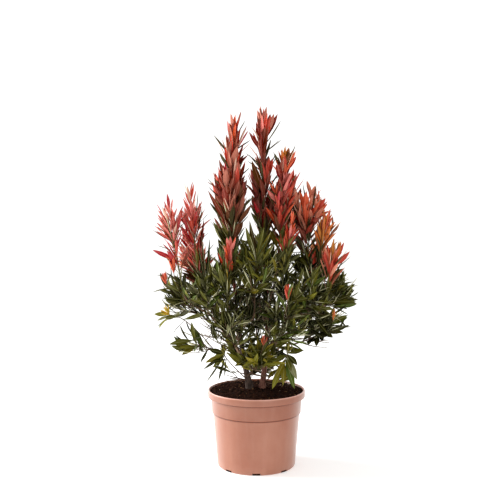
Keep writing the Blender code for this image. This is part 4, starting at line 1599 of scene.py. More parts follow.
@dataclass
class LeafyGrowth:
    """Shoots and the leaves that find room on them, gathered in one piece of leaves and one of twigs."""

    name: str
    habit: Habit
    spaces: Spaces
    midribs: Midribs
    leaf: LeafShape
    openness: float = 1.0
    reach: float = 1.0
    leaf_width: float = 1.0
    twig_sides: int = 5
    twig_rings: int = 7
    closings: tuple[float, ...] = (1.0, 0.75, 0.5)
    swings: tuple[float, ...] = (0.0, 0.8, -0.8)
    opening_power: float = 1.4
    foot_share: float = 0.40
    size_spread: float = 0.16
    width_spread: Pair = (0.68, 1.14)
    angle_spread: float = radians(10)
    turn_spread: float = 0.25
    lean_spread: float = 0.6
    twist_spread: float = 0.9
    bend_spread: float = 0.22
    ragged: Pair = (0.72, 1.08)
    tip_leaf_loss: float = 0.24
    tip_narrowing: float = 0.20
    stray_width: float = 0.40
    stray_until: float = 0.9
    streak_width: float = 0.26
    streak_opening: float = 0.8
    same_tone: float = 0.45
    tone_spread: float = 0.07
    fewest: int = 4
    back_to_parent: float = 0.55
    twig_tip_share: float = 0.8
    seat: float = 0.6
    straightest: float = 1e-4
    count: int = 0

    def __post_init__(self) -> None:
        """Starts the growth's own seeded chance."""
        self.chance = random.Random(self.name)
        self.leaves = MeshHeap()
        self.twigs = MeshHeap()
        self.leaf_faces, self.leaf_kinds = self.leaf.faces()

    def holds(self, points: np.ndarray, reach: float) -> bool:
        """Whether the points lie where this growth may be, at a share of its reach."""
        return self.spaces.hold(self.name, points, reach)

    def add_twig(self, twig: Limb) -> None:
        """Adds the twig's mesh."""
        points, faces = twig.tube(self.twig_sides, lambda point, outward, radius: 0.0)
        self.twigs.add(points, faces, [0] * len(faces))

    def twig(
        self, start: Vector, axis: Vector, outward: Vector, fork: float, length: float, radius: float
    ) -> Limb:
        """A twig that sets off at an angle and bends back towards its parent's direction.

        Args:
            start: its root.
            axis: its parent's direction.
            outward: the way it leaves, square to the axis.
            fork: the angle between them.
            length: how long it is.
            radius: how thick it is at its root.

        Returns:
            The twig.
        """
        heading = axis * cos(fork) + outward * sin(fork)
        middle = start + heading * length / 2
        end = middle + heading.lerp(axis, self.back_to_parent).normalized() * length / 2
        thinnest = self.habit.thinnest * self.twig_tip_share
        return curved_limb([start, middle, end], taper(radius, thinnest, self.twig_rings))

    def find_room(
        self, shoot: Limb, share: float, turn: float, scale: float, kind: LeafKind
    ) -> np.ndarray | None:
        """Finds a leaf room as first opened, closed towards its shoot or swung round it.

        Args:
            shoot: the shoot that carries it.
            share: its place along the shoot.
            turn: its place round the shoot.
            scale: the size of this shoot's leaves beyond its foot, as a share of the habit's.
            kind: which kind of leaf it is.

        Returns:
            The points, or None where nothing fits.
        """
        habit, uniform = self.habit, self.chance.uniform
        place, axis, radius = shoot.at(share)
        scale = 1 - (1 - scale) * min(1.0, share / self.foot_share)
        closed = share**self.opening_power
        opening = habit.open_foot * (1 - closed) + habit.open_tip * closed
        opening = (opening + habit.foot_spread * max(0.0, 1 - share / self.foot_share)) * self.openness
        opening += uniform(-self.angle_spread, self.angle_spread)
        length = habit.leaf_length * scale * (1 + uniform(-self.size_spread, self.size_spread))
        length *= 1 - self.tip_leaf_loss * share**3
        width = habit.leaf_width * self.leaf_width * scale * uniform(*self.width_spread)
        width *= 1 - self.tip_narrowing * share**3
        bend = habit.bend + uniform(-self.bend_spread, self.bend_spread) + self.straightest
        lean = uniform(-self.lean_spread, self.lean_spread)
        twist = uniform(-self.twist_spread, self.twist_spread)
        reach = uniform(*self.ragged) * self.reach
        if kind is LeafKind.STRAY:
            opening, reach = uniform(*habit.stray_open), self.ragged[1] * self.reach
            width *= self.stray_width
        elif kind is LeafKind.STREAK:
            opening *= self.streak_opening
            width *= self.streak_width
        for swing, closing in itertools.product(self.swings, self.closings):
            outward = Quaternion(axis, turn + swing) @ square_to(axis)
            angle = opening * closing
            heading = axis * cos(angle) + outward * sin(angle)
            across = (Quaternion(heading, lean) @ outward.cross(heading)).normalized()
            root = place + outward * radius * self.seat
            points = self.leaf.points(root, heading, across, length, width, bend, twist)
            free = self.midribs.leave_free(self.leaf.midrib(points))
            if free and self.holds(self.leaf.blade(points), reach):
                return points
        return None

    def leaf_kind(self, share: float) -> LeafKind:
        """Draws the kind of the next leaf.

        Args:
            share: the leaf's place along its shoot.

        Returns:
            The kind.
        """
        chance = self.chance.random()
        if chance < self.habit.strays and share < self.stray_until:
            return LeafKind.STRAY
        return LeafKind.STREAK if chance > 1 - self.habit.streaks else LeafKind.PLAIN

    def add_leaf(self, points: np.ndarray, tone: Tone) -> None:
        """Adds one leaf in its colour, and keeps its midrib.

        Args:
            points: the leaf's points.
            tone: its colour.
        """
        self.midribs.add(self.leaf.midrib(points))
        finish = FINISHES_A_LEAF * list(Tone).index(tone)
        self.leaves.add(points, self.leaf_faces, [finish + kind for kind in self.leaf_kinds])
        self.count += 1

    def add_leaves(
        self, shoot: Limb, tones: Callable[[float], Sequence[Tone]], bare: float, spacing: float, scale: float
    ) -> None:
        """Puts leaves on a shoot in a spiral that closes towards its tip.

        Args:
            shoot: the shoot.
            tones: gives the colours to choose from at a share of the shoot.
            bare: the share of it that has no leaves, from its foot.
            spacing: the distance between leaves, as a share of the habit's.
            scale: their size, as a share of the habit's.
        """
        count = max(self.fewest, round(shoot.length() * (1 - bare) / (self.habit.pitch * spacing)))
        turn = self.chance.uniform(0, 2 * pi)
        favourite = self.chance.random()
        for number in range(count):
            share = bare + (1 - bare) * ((number + 0.5) / count) ** self.habit.crowding
            turn += GOLDEN_TURN + self.chance.uniform(-self.turn_spread, self.turn_spread)
            kind = self.leaf_kind(share)
            points = self.find_room(shoot, share, turn, scale, kind)
            choices = tones(share + self.chance.uniform(-self.tone_spread, self.tone_spread))
            pick = favourite if self.chance.random() < self.same_tone else self.chance.random()
            if points is not None:
                self.add_leaf(points, kind.tone(choices[int(pick * len(choices))]))

    def pieces(self, leaf_materials: Sequence[Material], twig_material: Material) -> list[Object]:
        """Joins the leaves in one piece, and the twigs in another.

        Args:
            leaf_materials: the materials of all the leaf colours.
            twig_material: the twigs' material.

        Returns:
            The two pieces.
        """
        leaves = self.leaves.make("leaves_" + self.name, leaf_materials, radians(50))
        return [leaves, self.twigs.make("twigs_" + self.name, [twig_material], radians(70))]


@dataclass
class FoliageMass(LeafyGrowth):
    """One mass of foliage, with its shoots by the rule of its solid and finer twigs that they carry."""

    _: KW_ONLY
    plan: MassPlan
    shoot_rings: int = 12
    side_twig_thickness: float = 0.80
    first_fork: float = 0.14
    fork_run: float = 0.5
    fork_places: Pair = (0.1, 0.5)
    fork_turn: float = 0.8
    extra_run: float = 0.88
    least_leaves: int = 3
    side_start: float = 0.30
    finer_start: float = 0.45
    rise_from: float = 0.07
    extra_reach: float = 0.8
    twig_scales: Pair = (0.82, 1.06)
    finer_reach: float = 1.1
    finer_spacing: float = 1.1
    finer_scale: float = 0.94
    bud_length: float = 0.029
    bud_leaves: int = 8
    bud_leaf_width: float = 0.22
    bud_leaf_curl: Pair = (0.25, 0.2)
    bud_opening: float = radians(30)
    bud_closing: float = 0.8
    bud_foot: float = 0.86
    stalk_bare: float = 0.35
    stalk_leaf_scale: float = 0.8
    stalk_drop: float = 0.9
    stalk_bend: float = 0.7
    stalk_end: float = 0.4
    stalk_bow: float = 0.008
    stalk_thickness: float = 0.7
    stalk_rings: int = 10
    lone_leaf_curl: Pair = (0.15, 0.3)
    lone_leaf_face: Vector = field(default_factory=lambda: Vector((-0.35, -0.75, 0.55)))

    def main_shoot(self) -> Limb:
        """Lays the shoot up the middle of the mass, to an end inside its last tuft.

        Returns:
            The shoot.
        """
        foot, middle, tip = self.spaces.skeleton.mass_controls(self.plan)
        tuft = self.habit.tuft_share * self.habit.leaf_length * min(1.0, self.plan.leaf_scale)
        end = (1 - tuft / (tip - foot).length) * self.plan.run
        top, _ = curve_at([foot, middle, tip], end)
        parent = self.spaces.skeleton.limbs[self.plan.parent]
        on_tip = self.plan.parent_share == 1
        root_radius = parent.radii[-1] if on_tip else self.spaces.skeleton.bough_tip_radius
        radii = taper(root_radius, self.habit.thinnest, self.shoot_rings)
        return curved_limb([foot, foot.lerp(middle, end), top], radii)

    def fork(self, parent: Limb, number: int, count: int, reach: float, run: float | None = None) -> Limb:
        """A twig on a shoot, which leaves it by the golden angle.

        Args:
            parent: the shoot that carries it.
            number: its number on the shoot.
            count: how many the shoot carries.
            reach: its length, as a share of what is left of the shoot beyond the fork.
            run: the share of the shoot that the forks lie along, where it isn't that of the solid.

        Returns:
            The twig.
        """
        place = (number + self.chance.uniform(*self.fork_places)) / count
        share = self.first_fork + (run or self.fork_run) * place
        start, axis, radius = parent.at(share)
        turn = number * GOLDEN_TURN + self.chance.uniform(0, self.fork_turn)
        outward = Quaternion(axis, turn) @ square_to(axis)
        length = max(parent.length() * (1 - share) * reach, self.habit.leaf_length / 2)
        root_radius = self.side_twig_thickness * min(radius, self.spaces.skeleton.bough_tip_radius)
        return self.twig(start, axis, outward, self.habit.fork, length, root_radius)

    def holds(self, points: np.ndarray, reach: float) -> bool:
        """Whether the points lie in the mass's space, and above where it may hang.

        Args:
            points: the points, one row each.
            reach: how far they may lie from its middle line.

        Returns:
            Whether all of them do.
        """
        outward = np.maximum(np.hypot(points[:, 0], points[:, 1]) - self.rise_from, 0)
        above = points[:, 2] > self.plan.lowest / MILLIMETRES + self.plan.rise * outward
        return bool(above.all()) and super().holds(points, reach)

    def kept(self, twigs: Iterable[Limb]) -> list[Limb]:
        """The twigs that stay in the mass's space beyond their root."""
        return [twig for twig in twigs if self.spaces.hold(self.name, np.array(twig.path[2:]))]

    def band(self, dress: Dress, shoot: Limb, start: float) -> Callable[[float], Sequence[Tone]]:
        """Spreads the colours along a shoot, by height in an upright mass and outwards in a spray.

        Args:
            dress: the colours of the mass or of its twigs.
            shoot: the shoot.
            start: the shoot's place in a spray, from 0 at its foot to 1.

        Returns:
            Gives the colours to choose from at a share of the shoot.
        """
        if self.plan.growth is Growth.SPRAY:
            return lambda share: dress.tones(max(0.0, start + (1 - start) * share))
        foot, _, tip = self.spaces.skeleton.mass_controls(self.plan)
        low, high = shoot.path[0].z - foot.z, shoot.path[-1].z - foot.z
        return lambda share: dress.tones(max(0.0, low + (high - low) * share) / (tip.z - foot.z))

    def add_bud(self, trunk: Limb, bud: Bud) -> Limb:
        """Grows a bright young shoot from the trunk to its place among the green.

        Args:
            trunk: the mass's main shoot.
            bud: the plan of the young shoot.

        Returns:
            Its stalk.
        """
        tip = metres(bud.tip)
        start, axis, radius = trunk.at(bud.share)
        length = self.bud_length * bud.size
        foot = tip - Vector((0, 0, length * self.stalk_drop))
        bowed = start.lerp(foot, self.stalk_bend) + axis * self.stalk_bow + metres((0, 0, bud.arch))
        radii = taper(radius * self.stalk_thickness, self.habit.thinnest, self.stalk_rings)
        shoot = curved_limb([start, bowed, foot, foot.lerp(tip, self.stalk_end)], radii)
        self.add_twig(shoot)
        self.add_leaves(shoot, Dress.GREEN.tones, self.stalk_bare, 1.0, self.stalk_leaf_scale)
        width = length * self.bud_leaf_width
        for number, tone in zip(range(self.bud_leaves), itertools.cycle((bud.tone, bud.other, bud.tone))):
            share = number / self.bud_leaves
            place, heading, _ = shoot.at(self.bud_foot + share * (1 - self.bud_foot))
            outward = Quaternion(heading, number * GOLDEN_TURN) @ square_to(heading)
            tilt = self.bud_opening * (1 - self.bud_closing * share)
            way = heading * cos(tilt) + outward * sin(tilt)
            across = outward.cross(way).normalized()
            points = self.leaf.points(place, way, across, length, width, *self.bud_leaf_curl)
            self.add_leaf(points, tone)
        return shoot

    def add_lone_leaf(self, shoot: Limb, lone: Leaf) -> None:
        """Adds a leaf that stands out from its shoot, its face up and to the front.

        Args:
            shoot: the shoot.
            lone: the plan of the leaf.
        """
        root = shoot.at(lone.share)[0]
        way = metres(lone.tip) - root
        across, width = way.cross(self.lone_leaf_face).normalized(), lone.width / MILLIMETRES
        points = self.leaf.points(root, way.normalized(), across, way.length, width, *self.lone_leaf_curl)
        self.add_leaf(points, lone.tone)

    def grow(self) -> None:
        """Grows the main shoot, its side twigs, the extra and finer ones, and all their leaves."""
        plan, bare, trunk = self.plan, self.habit.bare, self.main_shoot()
        count, spacing = plan.side_twigs, plan.spacing
        extras, finer_count = round(self.habit.extra / spacing), round(self.habit.finer / spacing)
        sides = self.kept(self.fork(trunk, number, count, plan.side_reach) for number in range(count))
        extra = self.kept(
            self.fork(trunk, number + 1, extras + 2, plan.side_reach * self.extra_reach, self.extra_run)
            for number in range(extras)
        )
        side_dress = plan.side_dress or plan.dress
        for twig in [trunk, *sides, *extra]:
            self.add_twig(twig)
        stalks = [self.add_bud(trunk, bud) for bud in plan.buds]
        for lone in LONE_LEAVES.get(self.name, ()):
            self.add_lone_leaf(stalks[0] if lone.on_bud else trunk, lone)
        self.add_leaves(trunk, self.band(plan.dress, trunk, 0.0), bare, spacing, plan.leaf_scale)
        for twig in [*sides, *extra]:
            scale = self.chance.uniform(*self.twig_scales) * plan.leaf_scale
            self.add_leaves(twig, self.band(side_dress, twig, self.side_start), bare, spacing, scale)
            finer = [self.fork(twig, number, finer_count, self.finer_reach) for number in range(finer_count)]
            for twiglet in self.kept(finer):
                before = self.count
                tones = self.band(side_dress, twiglet, self.finer_start)
                self.add_leaves(twiglet, tones, bare, spacing * self.finer_spacing, scale * self.finer_scale)
                if self.count - before >= self.least_leaves:
                    self.add_twig(twiglet)


@dataclass
class InnerGrowth(LeafyGrowth):
    """The short leafy twigs on a stem or bough, in the shade of the crown."""

    _: KW_ONLY
    limb: Limb
    lowest: float
    first: float
    twig_pitch: float = 0.012
    fork_places: Pair = (0.1, 0.8)
    fork_turn: float = 1.0
    fork_angle: float = radians(52)
    length: Pair = (0.026, 0.046)
    thickest: float = 0.0011
    thickness: float = 0.7
    bare: float = 0.2
    spacing: float = 0.9
    leaf_scale: float = 0.92
    spread: float = 0.062
    rise_left: float = 0.42
    rise_from: float = 0.040
    tones: tuple[Tone, ...] = (
        Tone.SHADE_GREEN, Tone.DEEP_GREEN, Tone.DEEP_GREEN, Tone.SHADE_GREEN, Tone.GREEN,
    )

    def holds(self, points: np.ndarray, reach: float) -> bool:
        """Whether the points lie near the limb, above the open air under the crown, and off the limbs.

        Args:
            points: the points, one row each.
            reach: unused here, as the limb's spread stands for it.

        Returns:
            Whether all of them do.
        """
        above = points[:, 2] > self.lowest + self.rise_left * np.maximum(-points[:, 0] - self.rise_from, 0)
        if not above.all():
            return False
        path = np.array(self.limb.path)
        far, _ = distances(points, path[:-1], path[1:])
        return bool((far.min(1) < self.spread).all()) and self.spaces.clear_of_limbs(points)

    def grow(self) -> None:
        """Grows the twigs with their leaves."""
        count = max(1, round(self.limb.length() * (1 - self.first) / self.twig_pitch))
        for number in range(count):
            place = number + self.chance.uniform(*self.fork_places)
            start, axis, radius = self.limb.at(self.first + (1 - self.first) * place / count)
            turn = number * GOLDEN_TURN + self.chance.uniform(0, self.fork_turn)
            outward = Quaternion(axis, turn) @ square_to(axis)
            length = self.chance.uniform(*self.length)
            thick = min(self.thickest, radius * self.thickness)
            twig = self.twig(start, axis, outward, self.fork_angle, length, thick)
            if min(point.z for point in twig.path) < self.lowest:
                continue
            before = self.count
            self.add_leaves(twig, lambda share: self.tones, self.bare, self.spacing, self.leaf_scale)
            if self.count > before:
                self.add_twig(twig)


@dataclass
class Crown:
    """All the masses of foliage, and the leafy twigs inside them.

    Of each pair of values for the inside, the first is for boughs and the second for stems.
    """

    skeleton: Skeleton
    room: tuple[Vector, Vector]
    leaf: LeafShape = field(default_factory=LeafShape)
    lowest_inside: Pair = (0.264, 0.208)
    first_inside: Pair = (0.45, 0.16)
    twig_roughness: float = 0.6

    def build(self) -> list[Object]:
        """Grows every mass and then the inside, with finishes that they share.

        Returns:
            The pieces.
        """
        shared = (Spaces(self.skeleton, *self.room), Midribs(), self.leaf)
        materials = [material for tone in Tone for material in LeafFinish(tone).make()]
        barks = {
            growth: PlainFinish("twig_" + growth.value, habit.twig_colour, self.twig_roughness).make()
            for growth, habit in HABITS.items()
        }
        pieces = []
        for name, plan in MASSES.items():
            mass = FoliageMass(
                name, HABITS[plan.growth], *shared, plan.openness, plan.reach, plan.leaf_width, plan=plan
            )
            mass.grow()
            grown = mass.pieces(materials, barks[plan.growth])
            for piece in grown:
                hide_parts("foliage_" + name)
            pieces += grown
            LOG.info("%s: %d leaves", name, mass.count)
        for name, limb in self.skeleton.limbs.items():
            inner = InnerGrowth(
                "inner_" + name, HABITS[Growth.SPRAY], *shared, limb=limb,
                lowest=self.lowest_inside[name in STEMS], first=self.first_inside[name in STEMS],
            )
            inner.grow()
            if inner.count:
                pieces += inner.pieces(materials, barks[Growth.SPRAY])
                LOG.info("inner_%s: %d leaves", name, inner.count)
        return pieces


# Pot and soil


@dataclass
class Pot:
    """The round nursery pot: a rim band, a collar over a step, a tapering body and drain slots."""

    height: float = 0.150
    rim_radius: float = 0.095
    rim_depth: float = 0.014
    collar_top_radius: float = 0.0885
    collar_foot_radius: float = 0.0870
    collar_foot_height: float = 0.106
    body_top_radius: float = 0.0845
    body_foot_radius: float = 0.0760
    foot_rounding: float = 0.004
    edge_rounding: float = 0.0015
    rim_wall: float = 0.0035
    wall: float = 0.0020
    floor: float = 0.0030
    sides: int = 160
    drain_slots: int = 8
    drain_slot_size: Place = (0.016, 0.024, 0.012)
    drain_slot_top: float = 0.0045
    arc_points: int = 5
    weld: float = 1e-6

    def arc(self, middle: Pair, radius: float, first: float, last: float) -> list[Pair]:
        """Points of a round edge about its middle, from one angle to another in degrees."""
        angles = (radians(angle) for angle in taper(first, last, self.arc_points))
        return [(middle[0] + radius * cos(a), middle[1] + radius * sin(a)) for a in angles]

    def profile(self) -> list[Pair]:
        """Draws the outline from the middle of the underside, up the outside and down the inside.

        Returns:
            The radius and height of each point.
        """
        rim_foot = self.height - self.rim_depth
        edge, foot, lip = self.edge_rounding, self.foot_rounding, self.rim_wall / 2
        step = (self.collar_foot_radius - edge / 2, self.collar_foot_height + edge / 2)
        return [
            (0.0, 0.0),
            *self.arc((self.body_foot_radius - foot, foot), foot, -90, 0),
            (self.body_top_radius, self.collar_foot_height - self.wall),
            *self.arc(step, edge / 2, -80, 0),
            (self.collar_top_radius, rim_foot - self.wall),
            (self.collar_top_radius + edge, rim_foot - edge / 4),
            *self.arc((self.rim_radius - edge, rim_foot + edge), edge, -80, 0),
            *self.arc((self.rim_radius - lip, self.height - lip), lip, 0, 180),
            (self.collar_top_radius - self.wall, rim_foot - self.wall),
            (self.collar_foot_radius - self.wall, self.collar_foot_height),
            (self.body_top_radius - self.wall, self.collar_foot_height - 2 * self.wall),
            (self.body_foot_radius - self.wall, self.floor),
            (0.0, self.floor),
        ]

    def turned(self) -> bmesh.types.BMesh:
        """Turns the outline round the middle.

        Returns:
            Its shape.
        """
        shape = bmesh.new()
        corners = [shape.verts.new((radius, 0.0, height)) for radius, height in self.profile()]
        edges = [shape.edges.new(pair) for pair in zip(corners, corners[1:])]
        bmesh.ops.spin(
            shape, geom=corners + edges, axis=(0, 0, 1), angle=2 * pi, steps=self.sides, use_merge=True
        )
        bmesh.ops.remove_doubles(shape, verts=shape.verts, dist=self.weld)
        bmesh.ops.recalc_face_normals(shape, faces=shape.faces)
        return shape

    def slot_cutter(self) -> Object:
        """Joins all the drain slots' spaces.

        Returns:
            The object that they are cut with.
        """
        shape = bmesh.new()
        width, depth, height = self.drain_slot_size
        for number in range(self.drain_slots):
            turn = Matrix.Rotation(2 * pi * number / self.drain_slots, 4, "Z")
            place = Matrix.Translation((0.0, -self.body_foot_radius, self.drain_slot_top - height / 2))
            size = Matrix.Diagonal((width, depth, height, 1.0))
            bmesh.ops.create_cube(shape, size=1.0, matrix=turn @ place @ size)
        return linked("drain_slots", mesh_from("drain_slots", shape))

    def build(self) -> Object:
        """Cuts the drain slots from the turned pot, which replaces its solid.

        Returns:
            The pot.
        """
        plain = linked("pot_plain", mesh_from("pot_plain", self.turned()))
        cutter = self.slot_cutter()
        modifier = plain.modifiers.new("slots", "BOOLEAN")
        modifier.operation = "DIFFERENCE"
        modifier.object = cutter
        graph = bpy.context.evaluated_depsgraph_get()
        points, faces = in_order(bpy.data.meshes.new_from_object(plain.evaluated_get(graph)))
        for helper in (plain, cutter):
            bpy.data.objects.remove(helper)
        heap = MeshHeap()
        heap.add(points, faces, [0] * len(faces))
        piece = heap.make("pot_shell", [PotPlastic().make()], SHARP_EDGE)
        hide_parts("pot")
        return piece


@dataclass
class Soil:
    """The compost in the pot: an uneven top with clods, and crumbs, bark bits and pale grains lying on it."""

    pot: Pot
    level: float = SOIL_LEVEL
    flat_radius: float = 0.030
    edge_drop: float = 0.0055
    heaps: tuple[tuple[int, float, float], ...] = ((3, 0.0016, 0.6), (5, 0.0010, 2.0))
    rings: int = 70
    spokes: int = 220
    clod_height: float = 0.0020
    clod_size: float = 0.007
    wall_gap: float = 0.0010
    roughness: tuple[float, float, int] = (1.0, 2.1, 5)
    clod_middle: float = 0.35
    slot_compost_depth: float = 0.008
    slot_compost_inset: float = 0.0025
    slot_compost_gap: float = 0.0004
    slot_compost_cuts: int = 9
    slot_compost_lumps: Pair = (5, 0.12)
    crumbs: int = 1500
    chips: int = 150
    crumb_tones: tuple[tuple[str, Colour, float], ...] = (
        ("crumb_black", linear(28, 18, 12), 40),
        ("crumb_dark", linear(44, 28, 19), 34),
        ("crumb_brown", linear(74, 50, 34), 20),
        ("crumb_tan", linear(128, 98, 68), 4),
        ("crumb_pale", linear(196, 178, 150), 0.5),
        ("crumb_moss", linear(150, 150, 60), 0.2),
    )
    crumb_finish: Pair = (0.85, 0.12)
    crumb_sizes: Pair = (0.0007, 0.0014)
    crumb_shape: Place = (1.0, 0.8, 0.7)
    crumb_turn: float = 6.3
    crumb_lift: float = 0.4
    chip_size: Place = (0.0042, 0.0014, 0.0005)
    chip_tilt: float = 0.35
    crumb_tilt: float = 3.0
    crumb_margin: float = 0.004
    unevenness: Pair = (0.7, 1.15)
    seed: str = "soil"

    def height(self, radius: float, angle: float) -> float:
        """The soil's level as in its solid, flat round the stems, falling to the wall, with low heaps.

        Args:
            radius: the distance from the middle.
            angle: the direction from it.

        Returns:
            The height.
        """
        wall = self.pot.rim_radius - self.pot.rim_wall
        out = max(0.0, (radius - self.flat_radius) / (wall - self.flat_radius))
        heaps = sum(rise * sin(count * angle + turn) for count, rise, turn in self.heaps)
        return self.level - self.edge_drop * out**2 + heaps * sin(pi * out)

    def top(self, x: float, y: float) -> float:
        """The height of the uneven top at a place, with its clods.

        Args:
            x: the place across.
            y: the place in depth.

        Returns:
            The height.
        """
        clods = noise.fractal(Vector((x, y, 0.0)) / self.clod_size, *self.roughness) - self.clod_middle
        return self.height(hypot(x, y), atan2(y, x)) + self.clod_height * clods

    def ring(self, radius: float, height: float | None = None) -> list[Place]:
        """Lays points round the soil's body.

        Args:
            radius: how far out they lie.
            height: how high they lie, where they aren't on the uneven top.

        Returns:
            The points.
        """
        angles = (2 * pi * spoke / self.spokes for spoke in range(self.spokes))
        places = [(radius * cos(angle), radius * sin(angle)) for angle in angles]
        return [(x, y, self.top(x, y) if height is None else height) for x, y in places]

    def ground(self) -> Object:
        """Builds the soil's body, with a fine top and plain sides below the rim.

        Returns:
            The piece.
        """
        pot, heap, spokes = self.pot, MeshHeap(), self.spokes
        wall = pot.rim_radius - pot.rim_wall - self.wall_gap
        inside = pot.wall + self.wall_gap
        depths = (
            (pot.collar_top_radius - inside, pot.height - pot.rim_depth),
            (pot.collar_foot_radius - inside, pot.collar_foot_height + self.wall_gap),
            (pot.body_top_radius - inside, pot.collar_foot_height - pot.wall),
            (pot.body_foot_radius - inside, pot.floor + GAP),
        )
        rings = [self.ring(radius) for radius in taper(wall / self.rings, wall, self.rings)]
        rings += [self.ring(radius, height) for radius, height in depths]
        points = [(0.0, 0.0, self.top(0.0, 0.0)), *itertools.chain(*rings)]
        faces: list[Face] = [(0, 1 + k, 1 + (k + 1) % spokes) for k in range(spokes)]
        last = 1 + (len(rings) - 1) * spokes
        for first, k in itertools.product(range(1, last, spokes), range(spokes)):
            below, after = first + spokes, (k + 1) % spokes
            faces.append((first + k, below + k, below + after, first + after))
        faces.append(tuple(reversed(range(last, last + spokes))))
        heap.add(points, faces, [0] * len(faces))
        self.add_slot_compost(heap)
        piece = heap.make("soil_ground", [PottingSoil().make()], radians(80))
        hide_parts("soil")
        return piece

    def add_slot_compost(self, heap: MeshHeap) -> None:
        """Adds the compost that shows in the drain slots, a lumpy block set back in each.

        Args:
            heap: the mesh that it joins.
        """
        shape = bmesh.new()
        bmesh.ops.create_cube(shape, size=1.0)
        bmesh.ops.subdivide_edges(shape, edges=shape.edges, cuts=self.slot_compost_cuts, use_grid_fill=True)
        block, faces = arrays_of(shape)
        pot, gap, depth = self.pot, self.slot_compost_gap, self.slot_compost_depth
        size = np.array([pot.drain_slot_size[0] - 1.5 * gap, depth, pot.drain_slot_top - 2 * gap])
        out = depth / 2 + self.slot_compost_inset - pot.body_foot_radius
        middle = np.array([0.0, out, size[2] / 2 + gap])
        fineness, unevenness = self.slot_compost_lumps
        for number in range(pot.drain_slots):
            lumps = [noise.noise(Vector(point) * fineness + Vector((number, 0, 0))) for point in block]
            points = block * size * (1 - unevenness * np.abs(lumps))[:, None] + middle
            turn = np.array(Matrix.Rotation(2 * pi * number / pot.drain_slots, 3, "Z"))
            heap.add(points @ turn.T, faces, [0] * len(faces))

    def scatter(self) -> Object:
        """Strews loose crumbs, bark chips and pale grains on the soil, each a small uneven lump.

        Returns:
            The piece.
        """
        chance = random.Random(self.seed)
        names, colours, weights = zip(*self.crumb_tones)
        materials = [PlainFinish(*tone, *self.crumb_finish).make() for tone in zip(names, colours)]
        heap = MeshHeap()
        shape = bmesh.new()
        bmesh.ops.create_icosphere(shape, subdivisions=1, radius=1.0)
        ball, faces = arrays_of(shape)
        reach = self.pot.rim_radius - self.pot.rim_wall - self.crumb_margin
        smallest, more = self.crumb_sizes
        for number in range(self.crumbs + self.chips):
            radius, angle = reach * sqrt(chance.random()), chance.uniform(0, 2 * pi)
            x, y = radius * cos(angle), radius * sin(angle)
            is_chip = number >= self.crumbs
            size = smallest + more * chance.random() ** 3
            stretch = self.chip_size if is_chip else [size * share for share in self.crumb_shape]
            lump = ball * stretch * np.array([[chance.uniform(*self.unevenness)] for _ in ball])
            tilt = self.chip_tilt if is_chip else self.crumb_tilt
            ranges = ((-tilt, tilt), (-tilt, tilt), (0, self.crumb_turn))
            turn = Euler([chance.uniform(*ends) for ends in ranges])
            lump = lump @ np.array(turn.to_matrix()).T + (x, y, self.top(x, y) + stretch[2] * self.crumb_lift)
            tone = chance.choices(range(len(names)), weights)[0]
            heap.add(lump, faces, [tone] * len(faces))
        piece = heap.make("soil_crumbs", materials, radians(30))
        return piece

    def build(self) -> list[Object]:
        """The soil and what lies on it."""
        return [self.ground(), self.scatter()]


# The studio


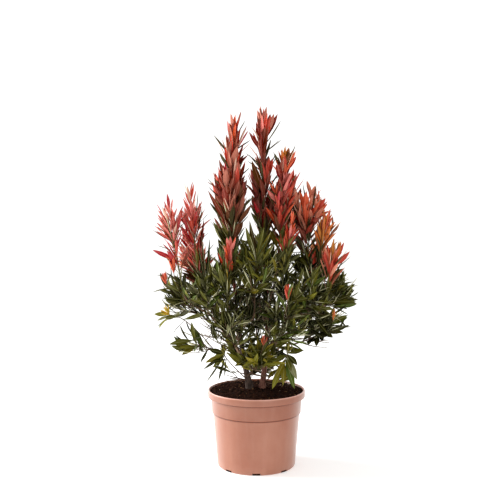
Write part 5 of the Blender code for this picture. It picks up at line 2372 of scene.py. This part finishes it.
@dataclass
class Studio:
    """A plain pale floor, soft light from the left and the camera of the photograph."""

    picture_side: int = 500
    focal_pixels: float = 905.0
    pot_column: float = 256.5
    camera_distance: float = 1.75
    camera_height: float = 0.545
    camera_down: float = radians(4)
    sensor: float = 36.0
    floor_radius: float = 6.0
    floor_sides: int = 96
    world_strength: float = 1.0
    zenith_strength: float = 0.5
    horizon_band: Pair = (0.28, 0.60)
    lamp_side: float = 1.0
    key_power: float = 45.0
    key_place: Place = (-1.75, 0.35, 1.00)
    fill_power: float = 4.0
    fill_place: Place = (0.9, -1.7, 0.9)
    aim: Place = (0.0, 0.0, 0.32)
    look: str = "Medium High Contrast"

    def camera(self) -> None:
        """The camera in front of the pot, turned so that the pot stands in its column of the picture."""
        data = bpy.data.cameras.new("camera")
        data.sensor_width = self.sensor
        data.lens = self.sensor * self.focal_pixels / self.picture_side
        camera = linked("camera", data)
        camera.location = (0.0, -self.camera_distance, self.camera_height)
        turn = atan((self.pot_column - self.picture_side / 2) / self.focal_pixels)
        camera.rotation_euler = (pi / 2 - self.camera_down, 0.0, turn)
        bpy.context.scene.camera = camera

    def lamp(self, name: str, place: Place, power: float) -> None:
        """Hangs a square soft light that faces the plant.

        Args:
            name: its name.
            place: where it hangs.
            power: its power in watts.
        """
        data = bpy.data.lights.new(name, "AREA")
        data.energy = power
        data.size = self.lamp_side
        lamp = linked(name, data)
        lamp.location = place
        lamp.rotation_euler = (Vector(self.aim) - Vector(place)).to_track_quat("-Z", "Y").to_euler()

    def floor(self) -> None:
        """The floor, a wide disc under the pot."""
        shape = bmesh.new()
        bmesh.ops.create_circle(shape, cap_ends=True, segments=self.floor_sides, radius=self.floor_radius)
        floor = linked("floor", mesh_from("floor", shape, FloorPaper().make()))
        floor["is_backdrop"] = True

    def sky(self) -> World:
        """Lights the scene from all round in white, and less from overhead.

        Returns:
            The world.
        """
        graph = Graph(bpy.data.worlds.new("studio"), "Background")
        direction = graph.add("ShaderNodeTexCoord", {}, {}, "Generated")
        height = graph.add("ShaderNodeSeparateXYZ", {}, {"Vector": direction}, "Z")
        white, dim = (1.0, 1.0, 1.0, 1.0), (*[self.zenith_strength] * 3, 1.0)
        overhead = graph.fit(height, *self.horizon_band)
        return graph.finish({"Color": graph.mix(overhead, white, dim), "Strength": self.world_strength})

    def build(self) -> None:
        """Sets up the floor, the lights, the world and the camera."""
        self.floor()
        self.lamp("key_light", self.key_place, self.key_power)
        self.lamp("fill_light", self.fill_place, self.fill_power)
        bpy.context.scene.world = self.sky()
        bpy.context.scene.view_settings.view_transform = "Standard"
        bpy.context.scene.view_settings.look = self.look
        self.camera()


def main() -> None:
    """Builds the studio, the pot, the soil, the wood and the foliage, and reports each piece."""
    logging.basicConfig(level=logging.INFO, format="%(name)s: %(message)s", stream=sys.stdout)
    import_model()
    solids_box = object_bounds()
    Studio().build()
    pot = Pot()
    skeleton = Skeleton()
    skeleton.plan()
    pieces = [pot.build(), *Soil(pot).build(), *Wood(skeleton).build(), *Crown(skeleton, solids_box).build()]
    for piece in pieces:
        LOG.info("%s: %d faces", piece.name, len(piece.data.polygons))
    LOG.info("%d faces in all", sum(len(piece.data.polygons) for piece in pieces))


if __name__ == "__main__":
    main()
